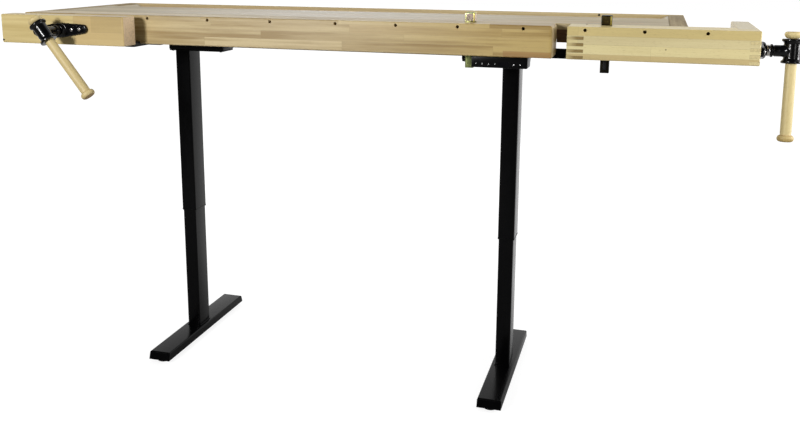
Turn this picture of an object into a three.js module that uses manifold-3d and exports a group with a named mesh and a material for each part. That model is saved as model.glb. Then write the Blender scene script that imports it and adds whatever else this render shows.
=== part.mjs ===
import * as THREE from 'three';
import { mergeVertices } from 'three/addons/utils/BufferGeometryUtils.js';
import Module from 'manifold-3d';

// A joiner's bench on an electric lifting frame, with a front vise and a tail vise.
// Millimetres. +X runs along the bench to the tail vise, +Y to the back, +Z up.
// While it is built, X = 0 is midway between the columns, Y = 0 the front face, Z = 0 the floor.

// Fits
const seat = 0.3; // between faces that are glued, bolted or let in
const runFit = 0.4; // each side of a piece that slides or turns
const ease = 2; // chamfer on the arrises of the boards
const past = 1; // how far a cut runs past the face it opens

// Wooden top
const topHeight = 1112; // floor to bench top, as the lift is set at rest
const topLeft = -925; // left end of the top, from midway between the columns
const topLength = 1936;
const topDepth = 575;
const railHeight = 84;
const beamThick = 100;
const slabThick = 28;
const slabBack = 385; // where the slab ends and the tool tray starts
const backRailThick = 25;
const capThick = 46;
const trayDepth = 45;
const trayFloorThick = 8;
const trayLipWidth = 25; // strip under the back edge of the slab that the tray floor is screwed to
const trayGroove = 8;
const rampLength = 88;
const rampRise = 42;
const rampCrest = 4; // flat at the top of a ramp
const battenWidth = 60;
const battenFront = 105;
const notchLength = 333; // cut out of the front beam for the tail vise
const notchLipWidth = 35;
const notchLipDrop = 51; // bench top to the underside of the strip behind the notch
const beamEndRound = 9; // on the corners of the front beam that face the tail vise

// Peg holes along the front edge
const pegDiameter = 9;
const pegDepth = 30;
const pegDrop = 9;
const beamPegs = [425, 620, 815, 1010, 1183, 1353, 1527]; // from the left end of the top
const chopPegs = [45, 191, 340]; // from the jaw of the tail vise

// Lifting frame
const columnSpacing = 1069;
const columnY = 288;
const upperTubeWidth = 50;
const upperTubeDepth = 75;
const tubeOverlap = 146; // how far the lower tube reaches into the upper one at rest
const lowerTubeWidth = 45;
const lowerTubeDepth = 70;
const lowerTubeLength = 560;
const tubeWall = 2;
const upperTubeCorner = 6;
const lowerTubeCorner = 4;
const armWidth = 60;
const armHeight = 22;
const armWall = 3;
const armSetback = 182; // front end of a support arm from the front face
const armEndGap = 5; // back end of a support arm to the back rail
const housingInner = 147; // column axis to the end of the housing that faces the middle
const housingOuter = 48;
const housingDepth = 80;
const housingHeight = 54;
const housingCorner = 8;
const crossBeamDepth = 50;
const crossBeamHeight = 36;
const crossBeamWall = 2.5;
const crossBeamCorner = 5;
const crossBeamLift = 14; // underside of the cross beam above the underside of the housings
const liftSpindleDiameter = 12;
const liftSpindleBelow = 68; // end of the spindle below its nut at rest
const liftNutHeight = 20;

// Feet
const footWidth = 71;
const footLength = 511;
const footHeight = 25;
const footSplay = 8; // how far the sloped ends run out at the bottom
const footWall = 3;
const footPlug = 70; // solid end of the foot that holds a glide
const footRound = 5;
const glideDiameter = 44;
const glideHeight = 10;
const glideStemDiameter = 10;
const glideStemLength = 20;
const glideInset = 24; // glide axis from the end of the foot's top face

// Control box and handset
const controlBoxX = 20;
const controlBoxY = 190;
const controlBoxLength = 260;
const controlBoxDepth = 110;
const controlBoxHeight = 36;
const handsetInset = 137; // middle of the handset from the right end of the front beam
const handsetWidth = 149;
const handsetHeight = 30;
const handsetDepth = 62;
const handsetSetback = 3;
const handsetLean = 6; // how far the lower edge of the handset's back is drawn in
const keyDiameter = 8;
const keyLength = 3;
const keyProud = 0.6;
const keySocket = 4.4;
const keyDrop = 20; // key centre below the top of the handset
const presetKeys = [-62, -45, -28, -11]; // key centres from the middle of the handset
const liftKeys = [39, 56];

// Vise hardware that both vises share
const spindleDiameter = 22;
const flangeHub = 44;
const flangeTipDiameter = 26;
const flangeThick = 10;
const bossReach = 26; // vise face to the tip of the flange's boss
const bossTipDiameter = 34;
const headReach = 79; // vise face to the axis of the handle
const collarDiameter = 33;
const collarLength = 6;
const grooveDiameter = 26;
const grooveLength = 3;
const neckDiameter = 29;
const headSocket = 28; // how deep the spindle sits in the head
const sleeveDiameter = 39;
const sleeveHeight = 61;
const sleeveRimDiameter = 50;
const sleeveRimThick = 7;
const sleeveFlare = 4;
const barDiameter = 27;
const barLength = 239; // between the two knobs
const knobDiameter = 40;
const knobHeight = 17;
const spigotDiameter = 15;
const spigotLength = 10;

// Front vise
const jawOverhang = 11; // how far the jaw runs past the left end of the top
const jawLength = 414;
const jawThick = 60;
const jawGap = 31; // opening between the jaw and the front beam at rest
const frontScrewDrop = 42; // bench top to the screw axis
const frontSpindleLength = 345; // behind the face of the jaw
const frontFlangeLength = 182;
const frontHandleTilt = 38; // degrees from upright, foot of the handle towards the tail vise
const guideWidth = 30;
const guideHeight = 14;
const guideDrop = 7; // how far the guide bars hang below the jaw
const guideReach = 215; // back end of a guide bar behind the front of the beam
const guideInsetRight = 6; // right guide bar from the end of the jaw
const shoeLength = 40;
const shoeWall = 6;
const frontNutWidth = 90;
const frontNutHeight = 46;
const frontNutPlate = 8;
const frontNutLength = 28;
const frontNutBoss = 38;

// Tail vise
const tailGap = 36; // opening between the beam's end and the tail vise's jaw at rest
const chopLength = 463;
const chopBoardThick = 55;
const chopClear = 1; // running gap between the tail vise and the slab
const jawBlockThick = 42;
const endBlockThick = 47;
const endBlockDepth = 339;
const fingerHeight = 8;
const fingerPitch = 16.5;
const fingerCount = 4;
const fingerStart = 1.5; // lowest finger above the underside of the board
const endFingerThick = 24;
const coverThick = 28;
const dogBlockLength = 72;
const tailScrewY = 72;
const tailScrewDrop = 52;
const tailSpindleLength = 320;
const tailFlangeLength = 124;
const tailHandleTilt = 5; // degrees from upright, foot of the handle towards the worker
const tailNutLength = 38;
const tailNutFront = 57;
const tailNutChamfer = 1;
const tailNutRise = 16; // screw axis to the top of the nut, which stands on the slide bar
const slideBarThick = 10;
const slideBarHeight = 26;
const slideBarDrop = 9; // how far the slide bar hangs below the front beam
const slideBarMortise = 40;
const keeperThick = 6;
const keeperLength = 240;
const keeperInset = 3;

// Bench dogs
const dogY = 74;
const beamDogInset = 229; // dog axis from the right end of the front beam
const tailDogInset = 94; // dog axis from the jaw of the tail vise
const dogWidth = 23;
const dogDepth = 22;
const dogLength = 150;
const dogHeadWidth = 28;
const dogHeadDepth = 26;
const dogHeadHeight = 26;
const dogChamfer = 3;

// Facets
const roundSides = 24;
const smallRoundSides = 16;
const cornerSteps = 4;
const flangeSteps = 6;

// Levels and lines that the pieces share
const topRight = topLeft + topLength;
const beamRight = topRight - notchLength;
const railBottom = topHeight - railHeight;
const slabBottom = topHeight - slabThick;
const slabFront = beamThick + seat;
const trayBack = topDepth - backRailThick;
const trayFloorTop = topHeight - trayDepth;
const trayFloorBottom = trayFloorTop - trayFloorThick;
const armTop = trayFloorBottom - seat;
const armBottom = armTop - armHeight;
const armBack = trayBack - armEndGap;
const housingTop = armBottom - seat;
const housingBottom = housingTop - housingHeight;
const footTop = glideHeight + footHeight;
const lowerTubeTop = footTop + seat + lowerTubeLength;
const upperTubeBottom = lowerTubeTop - tubeOverlap;
const liftNutBottom = lowerTubeTop - liftNutHeight;
const columnX = columnSpacing / 2;
const capInnerLeft = topLeft + capThick + seat;
const capInnerRight = topRight - capThick - seat;
const jawLeft = topLeft - jawOverhang;
const jawRight = jawLeft + jawLength;
const jawBack = -jawGap;
const jawFace = jawBack - jawThick;
const frontScrewX = jawLeft + jawLength / 2;
const frontScrewZ = topHeight - frontScrewDrop;
const guideBottom = railBottom - guideDrop;
const guideTop = guideBottom + guideHeight;
const chopLeft = beamRight + tailGap;
const chopRight = chopLeft + chopLength;
const chopBack = beamThick - chopClear;
const endBlockLeft = chopRight - endBlockThick;
const tailScrewZ = topHeight - tailScrewDrop;
const slideBarFront = beamThick - seat - slideBarThick;
const slideBarBottom = railBottom - slideBarDrop;
const slideBarTop = slideBarBottom + slideBarHeight;
const beamDogX = beamRight - beamDogInset;
const tailDogX = chopLeft + tailDogInset;
const handsetX = beamRight - handsetInset;
const knobRound = Math.min(knobHeight, knobDiameter - barDiameter) / 2;
const dogRaised = dogHeadHeight; // the underside of the head is level with the bench top at rest

const wasm = await Module();
wasm.setup();

// Materials
const finish = (color, roughness, metalness) =>
  new THREE.MeshStandardMaterial({ color, roughness, metalness });
const beech = finish(0xd9bf8c, 0.45, 0);
const turnedBeech = finish(0xdcc595, 0.5, 0);
const plywood = finish(0xc9b083, 0.55, 0);
const powderCoat = finish(0x1b1b1d, 0.6, 0.3);
const castIron = finish(0x17171a, 0.4, 0.6);
const steel = finish(0x8c8c8c, 0.35, 1);
const yellowZinc = finish(0x9c8a4e, 0.4, 0.9);
const blackPlastic = finish(0x141415, 0.5, 0);
const keyPlastic = finish(0x1e1e20, 0.55, 0);

// Solids
function toSolid(geometry) {
  const bare = geometry.clone();
  bare.deleteAttribute('normal');
  bare.deleteAttribute('uv');
  const welded = mergeVertices(bare, 1e-4);
  return new wasm.Manifold(new wasm.Mesh({
    numProp: 3,
    vertProperties: new Float32Array(welded.attributes.position.array),
    triVerts: new Uint32Array(welded.index.array),
  }));
}

function toGeometry(solid) {
  const { vertProperties, triVerts } = solid.getMesh();
  const geometry = new THREE.BufferGeometry();
  geometry.setAttribute('position', new THREE.BufferAttribute(vertProperties, 3));
  geometry.setIndex(new THREE.BufferAttribute(triVerts, 1));
  geometry.computeVertexNormals();
  return geometry;
}

const cut = (base, ...tools) =>
  toGeometry(tools.reduce((solid, tool) => solid.subtract(toSolid(tool)), toSolid(base)));

const join = (base, ...others) =>
  toGeometry(others.reduce((solid, other) => solid.add(toSolid(other)), toSolid(base)));

const common = (base, other) => toGeometry(toSolid(base).intersect(toSolid(other)));

// A plain block between two corners
function block(x0, x1, y0, y1, z0, z1) {
  return new THREE.BoxGeometry(x1 - x0, y1 - y0, z1 - z0)
    .translate((x0 + x1) / 2, (y0 + y1) / 2, (z0 + z1) / 2);
}

// A board between two corners, with every arris chamfered
function board(x0, x1, y0, y1, z0, z1, chamfer = ease) {
  const outline = new THREE.Shape();
  outline.moveTo(x0 + chamfer, y0);
  outline.lineTo(x1 - chamfer, y0);
  outline.lineTo(x1, y0 + chamfer);
  outline.lineTo(x1, y1 - chamfer);
  outline.lineTo(x1 - chamfer, y1);
  outline.lineTo(x0 + chamfer, y1);
  outline.lineTo(x0, y1 - chamfer);
  outline.lineTo(x0, y0 + chamfer);
  outline.closePath();
  return new THREE.ExtrudeGeometry(outline, {
    depth: z1 - z0 - 2 * chamfer,
    bevelThickness: chamfer,
    bevelSize: chamfer,
    bevelOffset: -chamfer,
    bevelSegments: 1,
  }).translate(0, 0, z0 + chamfer);
}

// Turn geometry made along +Z so that it runs along another axis
const alongX = (geometry) => geometry.rotateY(Math.PI / 2);
const alongY = (geometry) => geometry.rotateX(-Math.PI / 2);

// A round bar along Z from z0 to z1
function rod(diameter, z0, z1, sides = roundSides) {
  return new THREE.CylinderGeometry(diameter / 2, diameter / 2, z1 - z0, sides)
    .rotateX(Math.PI / 2)
    .translate(0, 0, (z0 + z1) / 2);
}

// A turned piece about Z: the profile lists radius and height from the bottom up
function turned(profile, sides = roundSides) {
  const points = profile.map(([radius, height]) => new THREE.Vector2(radius, height));
  return new THREE.LatheGeometry(points, sides).rotateX(Math.PI / 2);
}

function roundedRectangle(path, width, depth, corner) {
  const x = width / 2 - corner;
  const y = depth / 2 - corner;
  path.moveTo(x, -y - corner);
  path.absarc(x, -y, corner, -Math.PI / 2, 0);
  path.absarc(x, y, corner, 0, Math.PI / 2);
  path.absarc(-x, y, corner, Math.PI / 2, Math.PI);
  path.absarc(-x, -y, corner, Math.PI, Math.PI * 1.5);
  path.closePath();
  return path;
}

// A straight bar along Z with rounded upright corners, and a bore if the section has one
function bar(section, z0, z1) {
  return new THREE.ExtrudeGeometry(section, {
    depth: z1 - z0, bevelEnabled: false, curveSegments: cornerSteps,
  }).translate(0, 0, z0);
}

// A rectangular tube along Z, open at both ends
function tube(width, depth, wall, corner, z0, z1) {
  const section = roundedRectangle(new THREE.Shape(), width, depth, corner);
  section.holes.push(
    roundedRectangle(new THREE.Path(), width - 2 * wall, depth - 2 * wall, corner - wall));
  return bar(section, z0, z1);
}

// A moulded or pressed box about the Z axis, with rounded upright corners and eased rims
function roundedBox(width, depth, corner, z0, z1, rim = ease) {
  return new THREE.ExtrudeGeometry(roundedRectangle(new THREE.Shape(), width, depth, corner), {
    depth: z1 - z0 - 2 * rim,
    bevelThickness: rim,
    bevelSize: rim,
    bevelOffset: -rim,
    bevelSegments: 1,
    curveSegments: cornerSteps,
  }).translate(0, 0, z0 + rim);
}

const bench = new THREE.Group();

function add(name, geometry, material, parent = bench) {
  const mesh = new THREE.Mesh(geometry, material);
  mesh.name = name;
  parent.add(mesh);
  return mesh;
}

// A group whose own +X and +Z point along the given directions
function turnedGroup(position, xDirection, zDirection) {
  const group = new THREE.Group();
  const yDirection = new THREE.Vector3().crossVectors(zDirection, xDirection);
  group.quaternion.setFromRotationMatrix(
    new THREE.Matrix4().makeBasis(xDirection, yDirection, zDirection));
  group.position.copy(position);
  bench.add(group);
  return group;
}

// A profile drawn in X and Z, carried along Y from y0 to y1
function acrossY(profile, y0, y1) {
  return bar(profile, 0, y1 - y0).rotateX(Math.PI / 2).translate(0, y1, 0);
}

// A profile drawn in Y and Z, carried along X from x0 to x1
function acrossX(profile, x0, x1) {
  return bar(profile, x0, x1).rotateX(Math.PI / 2).rotateZ(Math.PI / 2);
}

const sides = [['left', -1], ['right', 1]];

// Holes that other pieces pass through
const pegHole = (x) =>
  alongY(rod(pegDiameter, -past, pegDepth, smallRoundSides)).translate(x, 0, topHeight - pegDrop);

const dogHole = (x) => [
  block(
    x - dogHeadWidth / 2 - runFit, x + dogHeadWidth / 2 + runFit,
    dogY - dogHeadDepth / 2 - runFit, dogY + dogHeadDepth / 2 + runFit,
    topHeight - dogRaised - runFit, topHeight + past),
  block(
    x - dogWidth / 2 - runFit, x + dogWidth / 2 + runFit,
    dogY - dogDepth / 2 - runFit, dogY + dogDepth / 2 + runFit,
    railBottom - seat - keeperThick - past, topHeight),
];

const frontSpindleHole = (y0, y1) =>
  alongY(rod(spindleDiameter + 2 * runFit, y0, y1)).translate(frontScrewX, 0, frontScrewZ);

const guides = [
  ['left', capInnerLeft + shoeWall + 2 * runFit],
  ['right', jawRight - guideInsetRight - guideWidth],
];

const guideSlot = (x, y0, y1, gap) =>
  block(x - gap, x + guideWidth + gap, y0, y1, guideBottom - gap, guideTop + gap);

// What is rounded off the top edge and the front edge of the beam's right end
function beamEndCorners() {
  const x0 = beamRight - beamEndRound;
  const x1 = beamRight + past;
  const topEdge = cut(
    block(x0, x1, -past, beamThick + past, topHeight - beamEndRound, topHeight + past),
    alongY(rod(2 * beamEndRound, -2 * past, beamThick + 2 * past))
      .translate(x0, 0, topHeight - beamEndRound));
  const frontEdge = cut(
    block(x0, x1, -past, beamEndRound, railBottom - past, topHeight + past),
    rod(2 * beamEndRound, railBottom - 2 * past, topHeight + 2 * past)
      .translate(x0, beamEndRound, 0));
  return [topEdge, frontEdge];
}

// Wooden top
function makeTop() {
  const beam = board(topLeft, beamRight, 0, beamThick, railBottom, topHeight);
  add('front_beam', cut(
    beam,
    ...beamEndCorners(),
    ...beamPegs.map((x) => pegHole(topLeft + x)),
    ...dogHole(beamDogX),
    frontSpindleHole(-past, beamThick + past),
    ...guides.map(([, x]) => guideSlot(x, -past, beamThick + past, runFit)),
    block(
      beamRight - slideBarMortise - seat, beamRight + past,
      slideBarFront - seat, beamThick + past,
      railBottom - past, slideBarTop + seat),
  ), beech);

  const slab = board(capInnerLeft, capInnerRight, slabFront, slabBack, slabBottom, topHeight);
  const trayLip = block(
    capInnerLeft + ease, capInnerRight - ease,
    slabBack - trayLipWidth, slabBack - ease,
    trayFloorTop + seat, slabBottom + ease);
  const notchLip = block(
    beamRight, capInnerRight - ease,
    slabFront + ease, slabFront + notchLipWidth,
    topHeight - notchLipDrop, slabBottom + ease);
  add('top_slab', join(slab, trayLip, notchLip), beech);

  const backRail = board(topLeft, topRight, trayBack, topDepth, railBottom, topHeight);
  add('back_rail', cut(backRail, block(
    capInnerLeft - seat, capInnerRight + seat,
    trayBack - past, trayBack + trayGroove,
    trayFloorBottom - seat, trayFloorTop + seat)), beech);

  add('left_end_cap', board(
    topLeft, topLeft + capThick, slabFront, trayBack - seat, railBottom, topHeight), beech);
  add('right_end_cap', board(
    topRight - capThick, topRight, beamThick, trayBack - seat, railBottom, topHeight), beech);

  const floor = block(
    capInnerLeft, capInnerRight,
    slabBack - trayLipWidth, trayBack + trayGroove - seat,
    trayFloorBottom, trayFloorTop);
  add('tray_floor', join(
    floor, trayRamp(capInnerLeft, 1), trayRamp(capInnerRight, -1)), plywood);

  for (const [side, sign] of sides) {
    add(`cross_batten_${side}`, board(
      sign * columnX - battenWidth / 2, sign * columnX + battenWidth / 2,
      battenFront, slabBack - trayLipWidth - seat,
      armTop + seat, slabBottom - seat), beech);
  }
}

// A wedge at the end of the tray, rising towards the end cap at x
function trayRamp(x, direction) {
  const profile = new THREE.Shape();
  profile.moveTo(x, trayFloorBottom);
  profile.lineTo(x + direction * rampLength, trayFloorBottom);
  profile.lineTo(x + direction * rampLength, trayFloorTop);
  profile.lineTo(x + direction * rampCrest, trayFloorTop + rampRise);
  profile.lineTo(x, trayFloorTop + rampRise);
  profile.closePath();
  return acrossY(profile, slabBack + seat, trayBack - seat);
}

// Support arms, cross beam, motor housings and the upper tubes of the columns
function makeFrame() {
  const armSection = new THREE.Shape();
  armSection.moveTo(-armWidth / 2, armBottom);
  armSection.lineTo(-armWidth / 2 + armWall, armBottom);
  armSection.lineTo(-armWidth / 2 + armWall, armTop - armWall);
  armSection.lineTo(armWidth / 2 - armWall, armTop - armWall);
  armSection.lineTo(armWidth / 2 - armWall, armBottom);
  armSection.lineTo(armWidth / 2, armBottom);
  armSection.lineTo(armWidth / 2, armTop);
  armSection.lineTo(-armWidth / 2, armTop);
  armSection.closePath();

  for (const [side, sign] of sides) {
    const x = sign * columnX;
    add(`support_arm_${side}`,
      acrossY(armSection, armSetback, armBack).translate(x, 0, 0), powderCoat);
    add(`motor_housing_${side}`, roundedBox(
      housingInner + housingOuter, housingDepth, housingCorner, housingBottom, housingTop)
      .translate(x + sign * (housingOuter - housingInner) / 2, columnY, 0), powderCoat);
    add(`upper_tube_${side}`, tube(
      upperTubeWidth, upperTubeDepth, tubeWall, upperTubeCorner,
      upperTubeBottom, housingBottom - seat).translate(x, columnY, 0), powderCoat);
    add(`lift_spindle_${side}`, rod(
      liftSpindleDiameter, liftNutBottom - liftSpindleBelow, housingBottom - seat,
      smallRoundSides).translate(x, columnY, 0), steel);
  }

  const beamEnd = columnX - housingInner - seat;
  const beamBottom = housingBottom + crossBeamLift;
  const crossBeam = tube(
    crossBeamHeight, crossBeamDepth, crossBeamWall, crossBeamCorner, -beamEnd, beamEnd);
  add('cross_beam', alongX(crossBeam)
    .translate(0, columnY, beamBottom + crossBeamHeight / 2), powderCoat);

  add('control_box', roundedBox(
    controlBoxLength, controlBoxDepth, housingCorner,
    slabBottom - seat - controlBoxHeight, slabBottom - seat)
    .translate(controlBoxX, controlBoxY, 0), blackPlastic);
}

// Feet, lower tubes, spindle nuts and levelling glides
function makeFeet() {
  const halfLength = footLength / 2;
  const sideView = new THREE.Shape();
  sideView.moveTo(-halfLength - footSplay, glideHeight);
  sideView.lineTo(halfLength + footSplay, glideHeight);
  sideView.lineTo(halfLength, footTop);
  sideView.lineTo(-halfLength, footTop);
  sideView.closePath();
  const section = new THREE.Shape();
  section.moveTo(-footWidth / 2, glideHeight);
  section.lineTo(footWidth / 2, glideHeight);
  section.absarc(footWidth / 2 - footRound, footTop - footRound, footRound, 0, Math.PI / 2);
  section.absarc(-footWidth / 2 + footRound, footTop - footRound, footRound, Math.PI / 2, Math.PI);
  section.closePath();
  const pressed = common(
    acrossX(sideView, -footWidth / 2, footWidth / 2),
    acrossY(section, -halfLength - footSplay, halfLength + footSplay));
  const hollow = block(
    -footWidth / 2 + footWall, footWidth / 2 - footWall,
    -halfLength + footPlug, halfLength - footPlug,
    glideHeight - past, footTop - footWall);
  const glideOffset = halfLength - glideInset;
  const stemTop = glideHeight - seat + glideStemLength;
  const stemHole = (y) => rod(
    glideStemDiameter + 2 * seat, glideHeight - past, stemTop + seat, smallRoundSides)
    .translate(0, y, 0);
  const foot = cut(pressed, hollow, stemHole(-glideOffset), stemHole(glideOffset));

  const glide = turned([
    [0, 0],
    [glideDiameter / 2 - ease, 0],
    [glideDiameter / 2, ease],
    [glideDiameter / 2, glideHeight - seat - ease],
    [glideDiameter / 2 - ease, glideHeight - seat],
    [glideStemDiameter / 2, glideHeight - seat],
    [glideStemDiameter / 2, stemTop],
    [0, stemTop],
  ], smallRoundSides);

  const nutWidth = lowerTubeWidth - 2 * (tubeWall + seat);
  const nutDepth = lowerTubeDepth - 2 * (tubeWall + seat);
  const nut = cut(
    bar(roundedRectangle(new THREE.Shape(), nutWidth, nutDepth, lowerTubeCorner - tubeWall),
      liftNutBottom, lowerTubeTop),
    rod(liftSpindleDiameter + 2 * runFit, liftNutBottom - past, lowerTubeTop + past,
      smallRoundSides));

  for (const [side, sign] of sides) {
    const x = sign * columnX;
    add(`foot_${side}`, foot.clone().translate(x, columnY, 0), powderCoat);
    add(`glide_${side}_front`,
      glide.clone().translate(x, columnY - glideOffset, 0), blackPlastic);
    add(`glide_${side}_back`,
      glide.clone().translate(x, columnY + glideOffset, 0), blackPlastic);
    add(`lower_tube_${side}`, tube(
      lowerTubeWidth, lowerTubeDepth, tubeWall, lowerTubeCorner,
      footTop + seat, lowerTubeTop).translate(x, columnY, 0), powderCoat);
    add(`lift_nut_${side}`, nut.clone().translate(x, columnY, 0), blackPlastic);
  }
}

// Handset under the front beam, with its six keys
function makeHandset() {
  const top = railBottom - seat;
  const bottom = top - handsetHeight;
  const back = handsetSetback + handsetDepth;
  const profile = new THREE.Shape();
  profile.moveTo(handsetSetback, bottom + ease);
  profile.lineTo(handsetSetback + ease, bottom);
  profile.lineTo(back - handsetLean, bottom);
  profile.lineTo(back, top);
  profile.lineTo(handsetSetback, top);
  profile.closePath();
  const shell = acrossX(
    profile, handsetX - handsetWidth / 2, handsetX + handsetWidth / 2);
  const keyZ = top - keyDrop;
  const face = handsetSetback;
  const socket = (offset) => alongY(rod(
    keyDiameter + 2 * runFit, face - past, face + keySocket, smallRoundSides))
    .translate(handsetX + offset, 0, keyZ);
  add('handset', cut(shell, ...[...presetKeys, ...liftKeys].map(socket)), blackPlastic);

  const key = (name, offset) => add(name, alongY(rod(
    keyDiameter, face - keyProud, face - keyProud + keyLength, smallRoundSides))
    .translate(handsetX + offset, 0, keyZ), keyPlastic);
  presetKeys.forEach((offset, index) => key(`preset_key_${index + 1}`, offset));
  key('raise_key', liftKeys[0]);
  key('lower_key', liftKeys[1]);
}

// Flange plate of a vise: a hub drawn out to two rounded tips along X, with a boss along +Z
function viseFlange(length) {
  const hub = flangeHub / 2;
  const tip = flangeTipDiameter / 2;
  const tipX = length / 2 - tip;
  const tangent = Math.acos((hub - tip) / tipX);
  const outline = new THREE.Shape();
  outline.absarc(tipX, 0, tip, -tangent, tangent);
  outline.absarc(0, 0, hub, tangent, Math.PI - tangent);
  outline.absarc(-tipX, 0, tip, Math.PI - tangent, Math.PI + tangent);
  outline.absarc(0, 0, hub, Math.PI + tangent, 2 * Math.PI - tangent);
  outline.closePath();
  const plate = new THREE.ExtrudeGeometry(outline, {
    depth: flangeThick - seat - ease,
    bevelThickness: ease,
    bevelSize: ease,
    bevelOffset: -ease,
    bevelSegments: 1,
    curveSegments: flangeSteps,
  }).translate(0, 0, seat);
  const flat = block(-length, length, -length, length, -length, seat);
  const boss = turned([
    [0, seat],
    [hub - ease, seat],
    [hub - ease, flangeThick],
    [bossTipDiameter / 2, bossReach - ease],
    [bossTipDiameter / 2 - ease, bossReach],
    [0, bossReach],
  ]);
  const bore = rod(spindleDiameter + 2 * runFit, -past, bossReach + past);
  return cut(join(plate, boss), flat, bore);
}

// Head of a vise screw: a collared neck along +Z and a rimmed sleeve along X for the handle
function viseHead() {
  const base = bossReach + runFit;
  const neck = turned([
    [0, base],
    [collarDiameter / 2, base],
    [collarDiameter / 2, base + collarLength],
    [grooveDiameter / 2, base + collarLength + ease],
    [grooveDiameter / 2, base + collarLength + grooveLength],
    [neckDiameter / 2, base + collarLength + grooveLength + ease],
    [neckDiameter / 2, headReach],
    [0, headReach],
  ]);
  const end = sleeveHeight / 2;
  const rim = sleeveRimDiameter / 2;
  const body = sleeveDiameter / 2;
  const sleeve = turned([
    [0, -end],
    [rim - ease, -end],
    [rim, -end + ease],
    [rim, -end + sleeveRimThick],
    [body, -end + sleeveRimThick + sleeveFlare],
    [body, end - sleeveRimThick - sleeveFlare],
    [rim, end - sleeveRimThick],
    [rim, end - ease],
    [rim - ease, end],
    [0, end],
  ]);
  const bore = rod(barDiameter + 2 * runFit, -sleeveHeight, sleeveHeight);
  const socket = rod(spindleDiameter + 2 * seat, base - past, base + headSocket);
  return cut(
    join(neck, alongX(sleeve).translate(0, 0, headReach)),
    alongX(bore).translate(0, 0, headReach), socket);
}

// Profile of a knob from its inner face outwards, with both rims rounded
function knobProfile(height) {
  const inner = [];
  for (let step = 0; step <= cornerSteps; step += 1) {
    const angle = Math.PI / 2 * step / cornerSteps;
    inner.push([
      knobDiameter / 2 - knobRound + knobRound * Math.sin(angle),
      knobRound - knobRound * Math.cos(angle),
    ]);
  }
  const outer = inner.map(([radius, rise]) => [radius, knobHeight - rise]).reverse();
  return [...inner, ...outer].map(([radius, rise]) => [radius, height + rise]);
}

// Wooden handle along +X: the spigot knob rests on the sleeve, the turned knob hangs at the foot
function addHandle(group, prefix) {
  const shoulder = -sleeveHeight / 2 - seat;
  const foot = shoulder + barLength;
  const radius = barDiameter / 2;
  const spigot = spigotDiameter / 2;
  add(`${prefix}_handle`, alongX(turned([
    [0, shoulder - spigotLength],
    [spigot, shoulder - spigotLength],
    [spigot, shoulder],
    [radius, shoulder],
    [radius, foot],
    ...knobProfile(foot),
    [0, foot + knobHeight],
  ])).translate(0, 0, headReach), turnedBeech, group);
  const knob = turned([
    [0, 0], ...knobProfile(0), [0, knobHeight],
  ]).rotateX(Math.PI);
  const socket = rod(spigotDiameter + 2 * seat, -spigotLength - seat, past);
  add(`${prefix}_handle_knob`, alongX(cut(knob, socket).translate(0, 0, shoulder - seat))
    .translate(0, 0, headReach), turnedBeech, group);
}

// Screw, head and handle of a vise, in a group whose +Z points out of the vise face
function addScrew(group, prefix, spindleLength) {
  add(`${prefix}_spindle`, rod(
    spindleDiameter, -spindleLength, bossReach + runFit + headSocket - seat), steel, group);
  add(`${prefix}_screw_head`, viseHead(), castIron, group);
  addHandle(group, prefix);
}

function makeFrontVise() {
  const outward = new THREE.Vector3(0, -1, 0);
  const tilt = THREE.MathUtils.degToRad(frontHandleTilt);
  const alongHandle = new THREE.Vector3(Math.sin(tilt), 0, -Math.cos(tilt));
  const face = new THREE.Vector3(frontScrewX, jawFace, frontScrewZ);
  add('front_flange', viseFlange(frontFlangeLength), castIron,
    turnedGroup(face, new THREE.Vector3(1, 0, 0), outward));
  addScrew(turnedGroup(face, alongHandle, outward), 'front', frontSpindleLength);

  const jaw = board(jawLeft, jawRight, jawFace, jawBack, railBottom, topHeight);
  add('front_jaw', cut(jaw, frontSpindleHole(jawFace - past, jawBack + past)), beech);

  const shoeFront = beamThick + seat;
  for (const [side, x] of guides) {
    add(`front_guide_bar_${side}`, block(
      x, x + guideWidth, jawBack + seat, guideReach, guideBottom, guideTop), powderCoat);
    const shoe = block(
      x - shoeWall - runFit, x + guideWidth + runFit + shoeWall,
      shoeFront, shoeFront + shoeLength,
      guideBottom - runFit - shoeWall, guideTop + runFit + shoeWall);
    add(`front_guide_shoe_${side}`, cut(
      shoe, guideSlot(x, shoeFront - past, shoeFront + shoeLength + past, runFit)), powderCoat);
  }

  const nutPlate = block(
    frontScrewX - frontNutWidth / 2, frontScrewX + frontNutWidth / 2,
    shoeFront, shoeFront + frontNutPlate,
    frontScrewZ - frontNutHeight / 2, slabBottom - seat);
  const nutBoss = alongY(rod(frontNutBoss, shoeFront, shoeFront + frontNutLength))
    .translate(frontScrewX, 0, frontScrewZ);
  const underSlab = block(
    frontScrewX - frontNutWidth, frontScrewX + frontNutWidth,
    0, slabBack, slabBottom - seat, topHeight);
  add('front_nut', cut(
    join(nutPlate, nutBoss), underSlab, frontSpindleHole(0, slabBack)), castIron);
}

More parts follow.
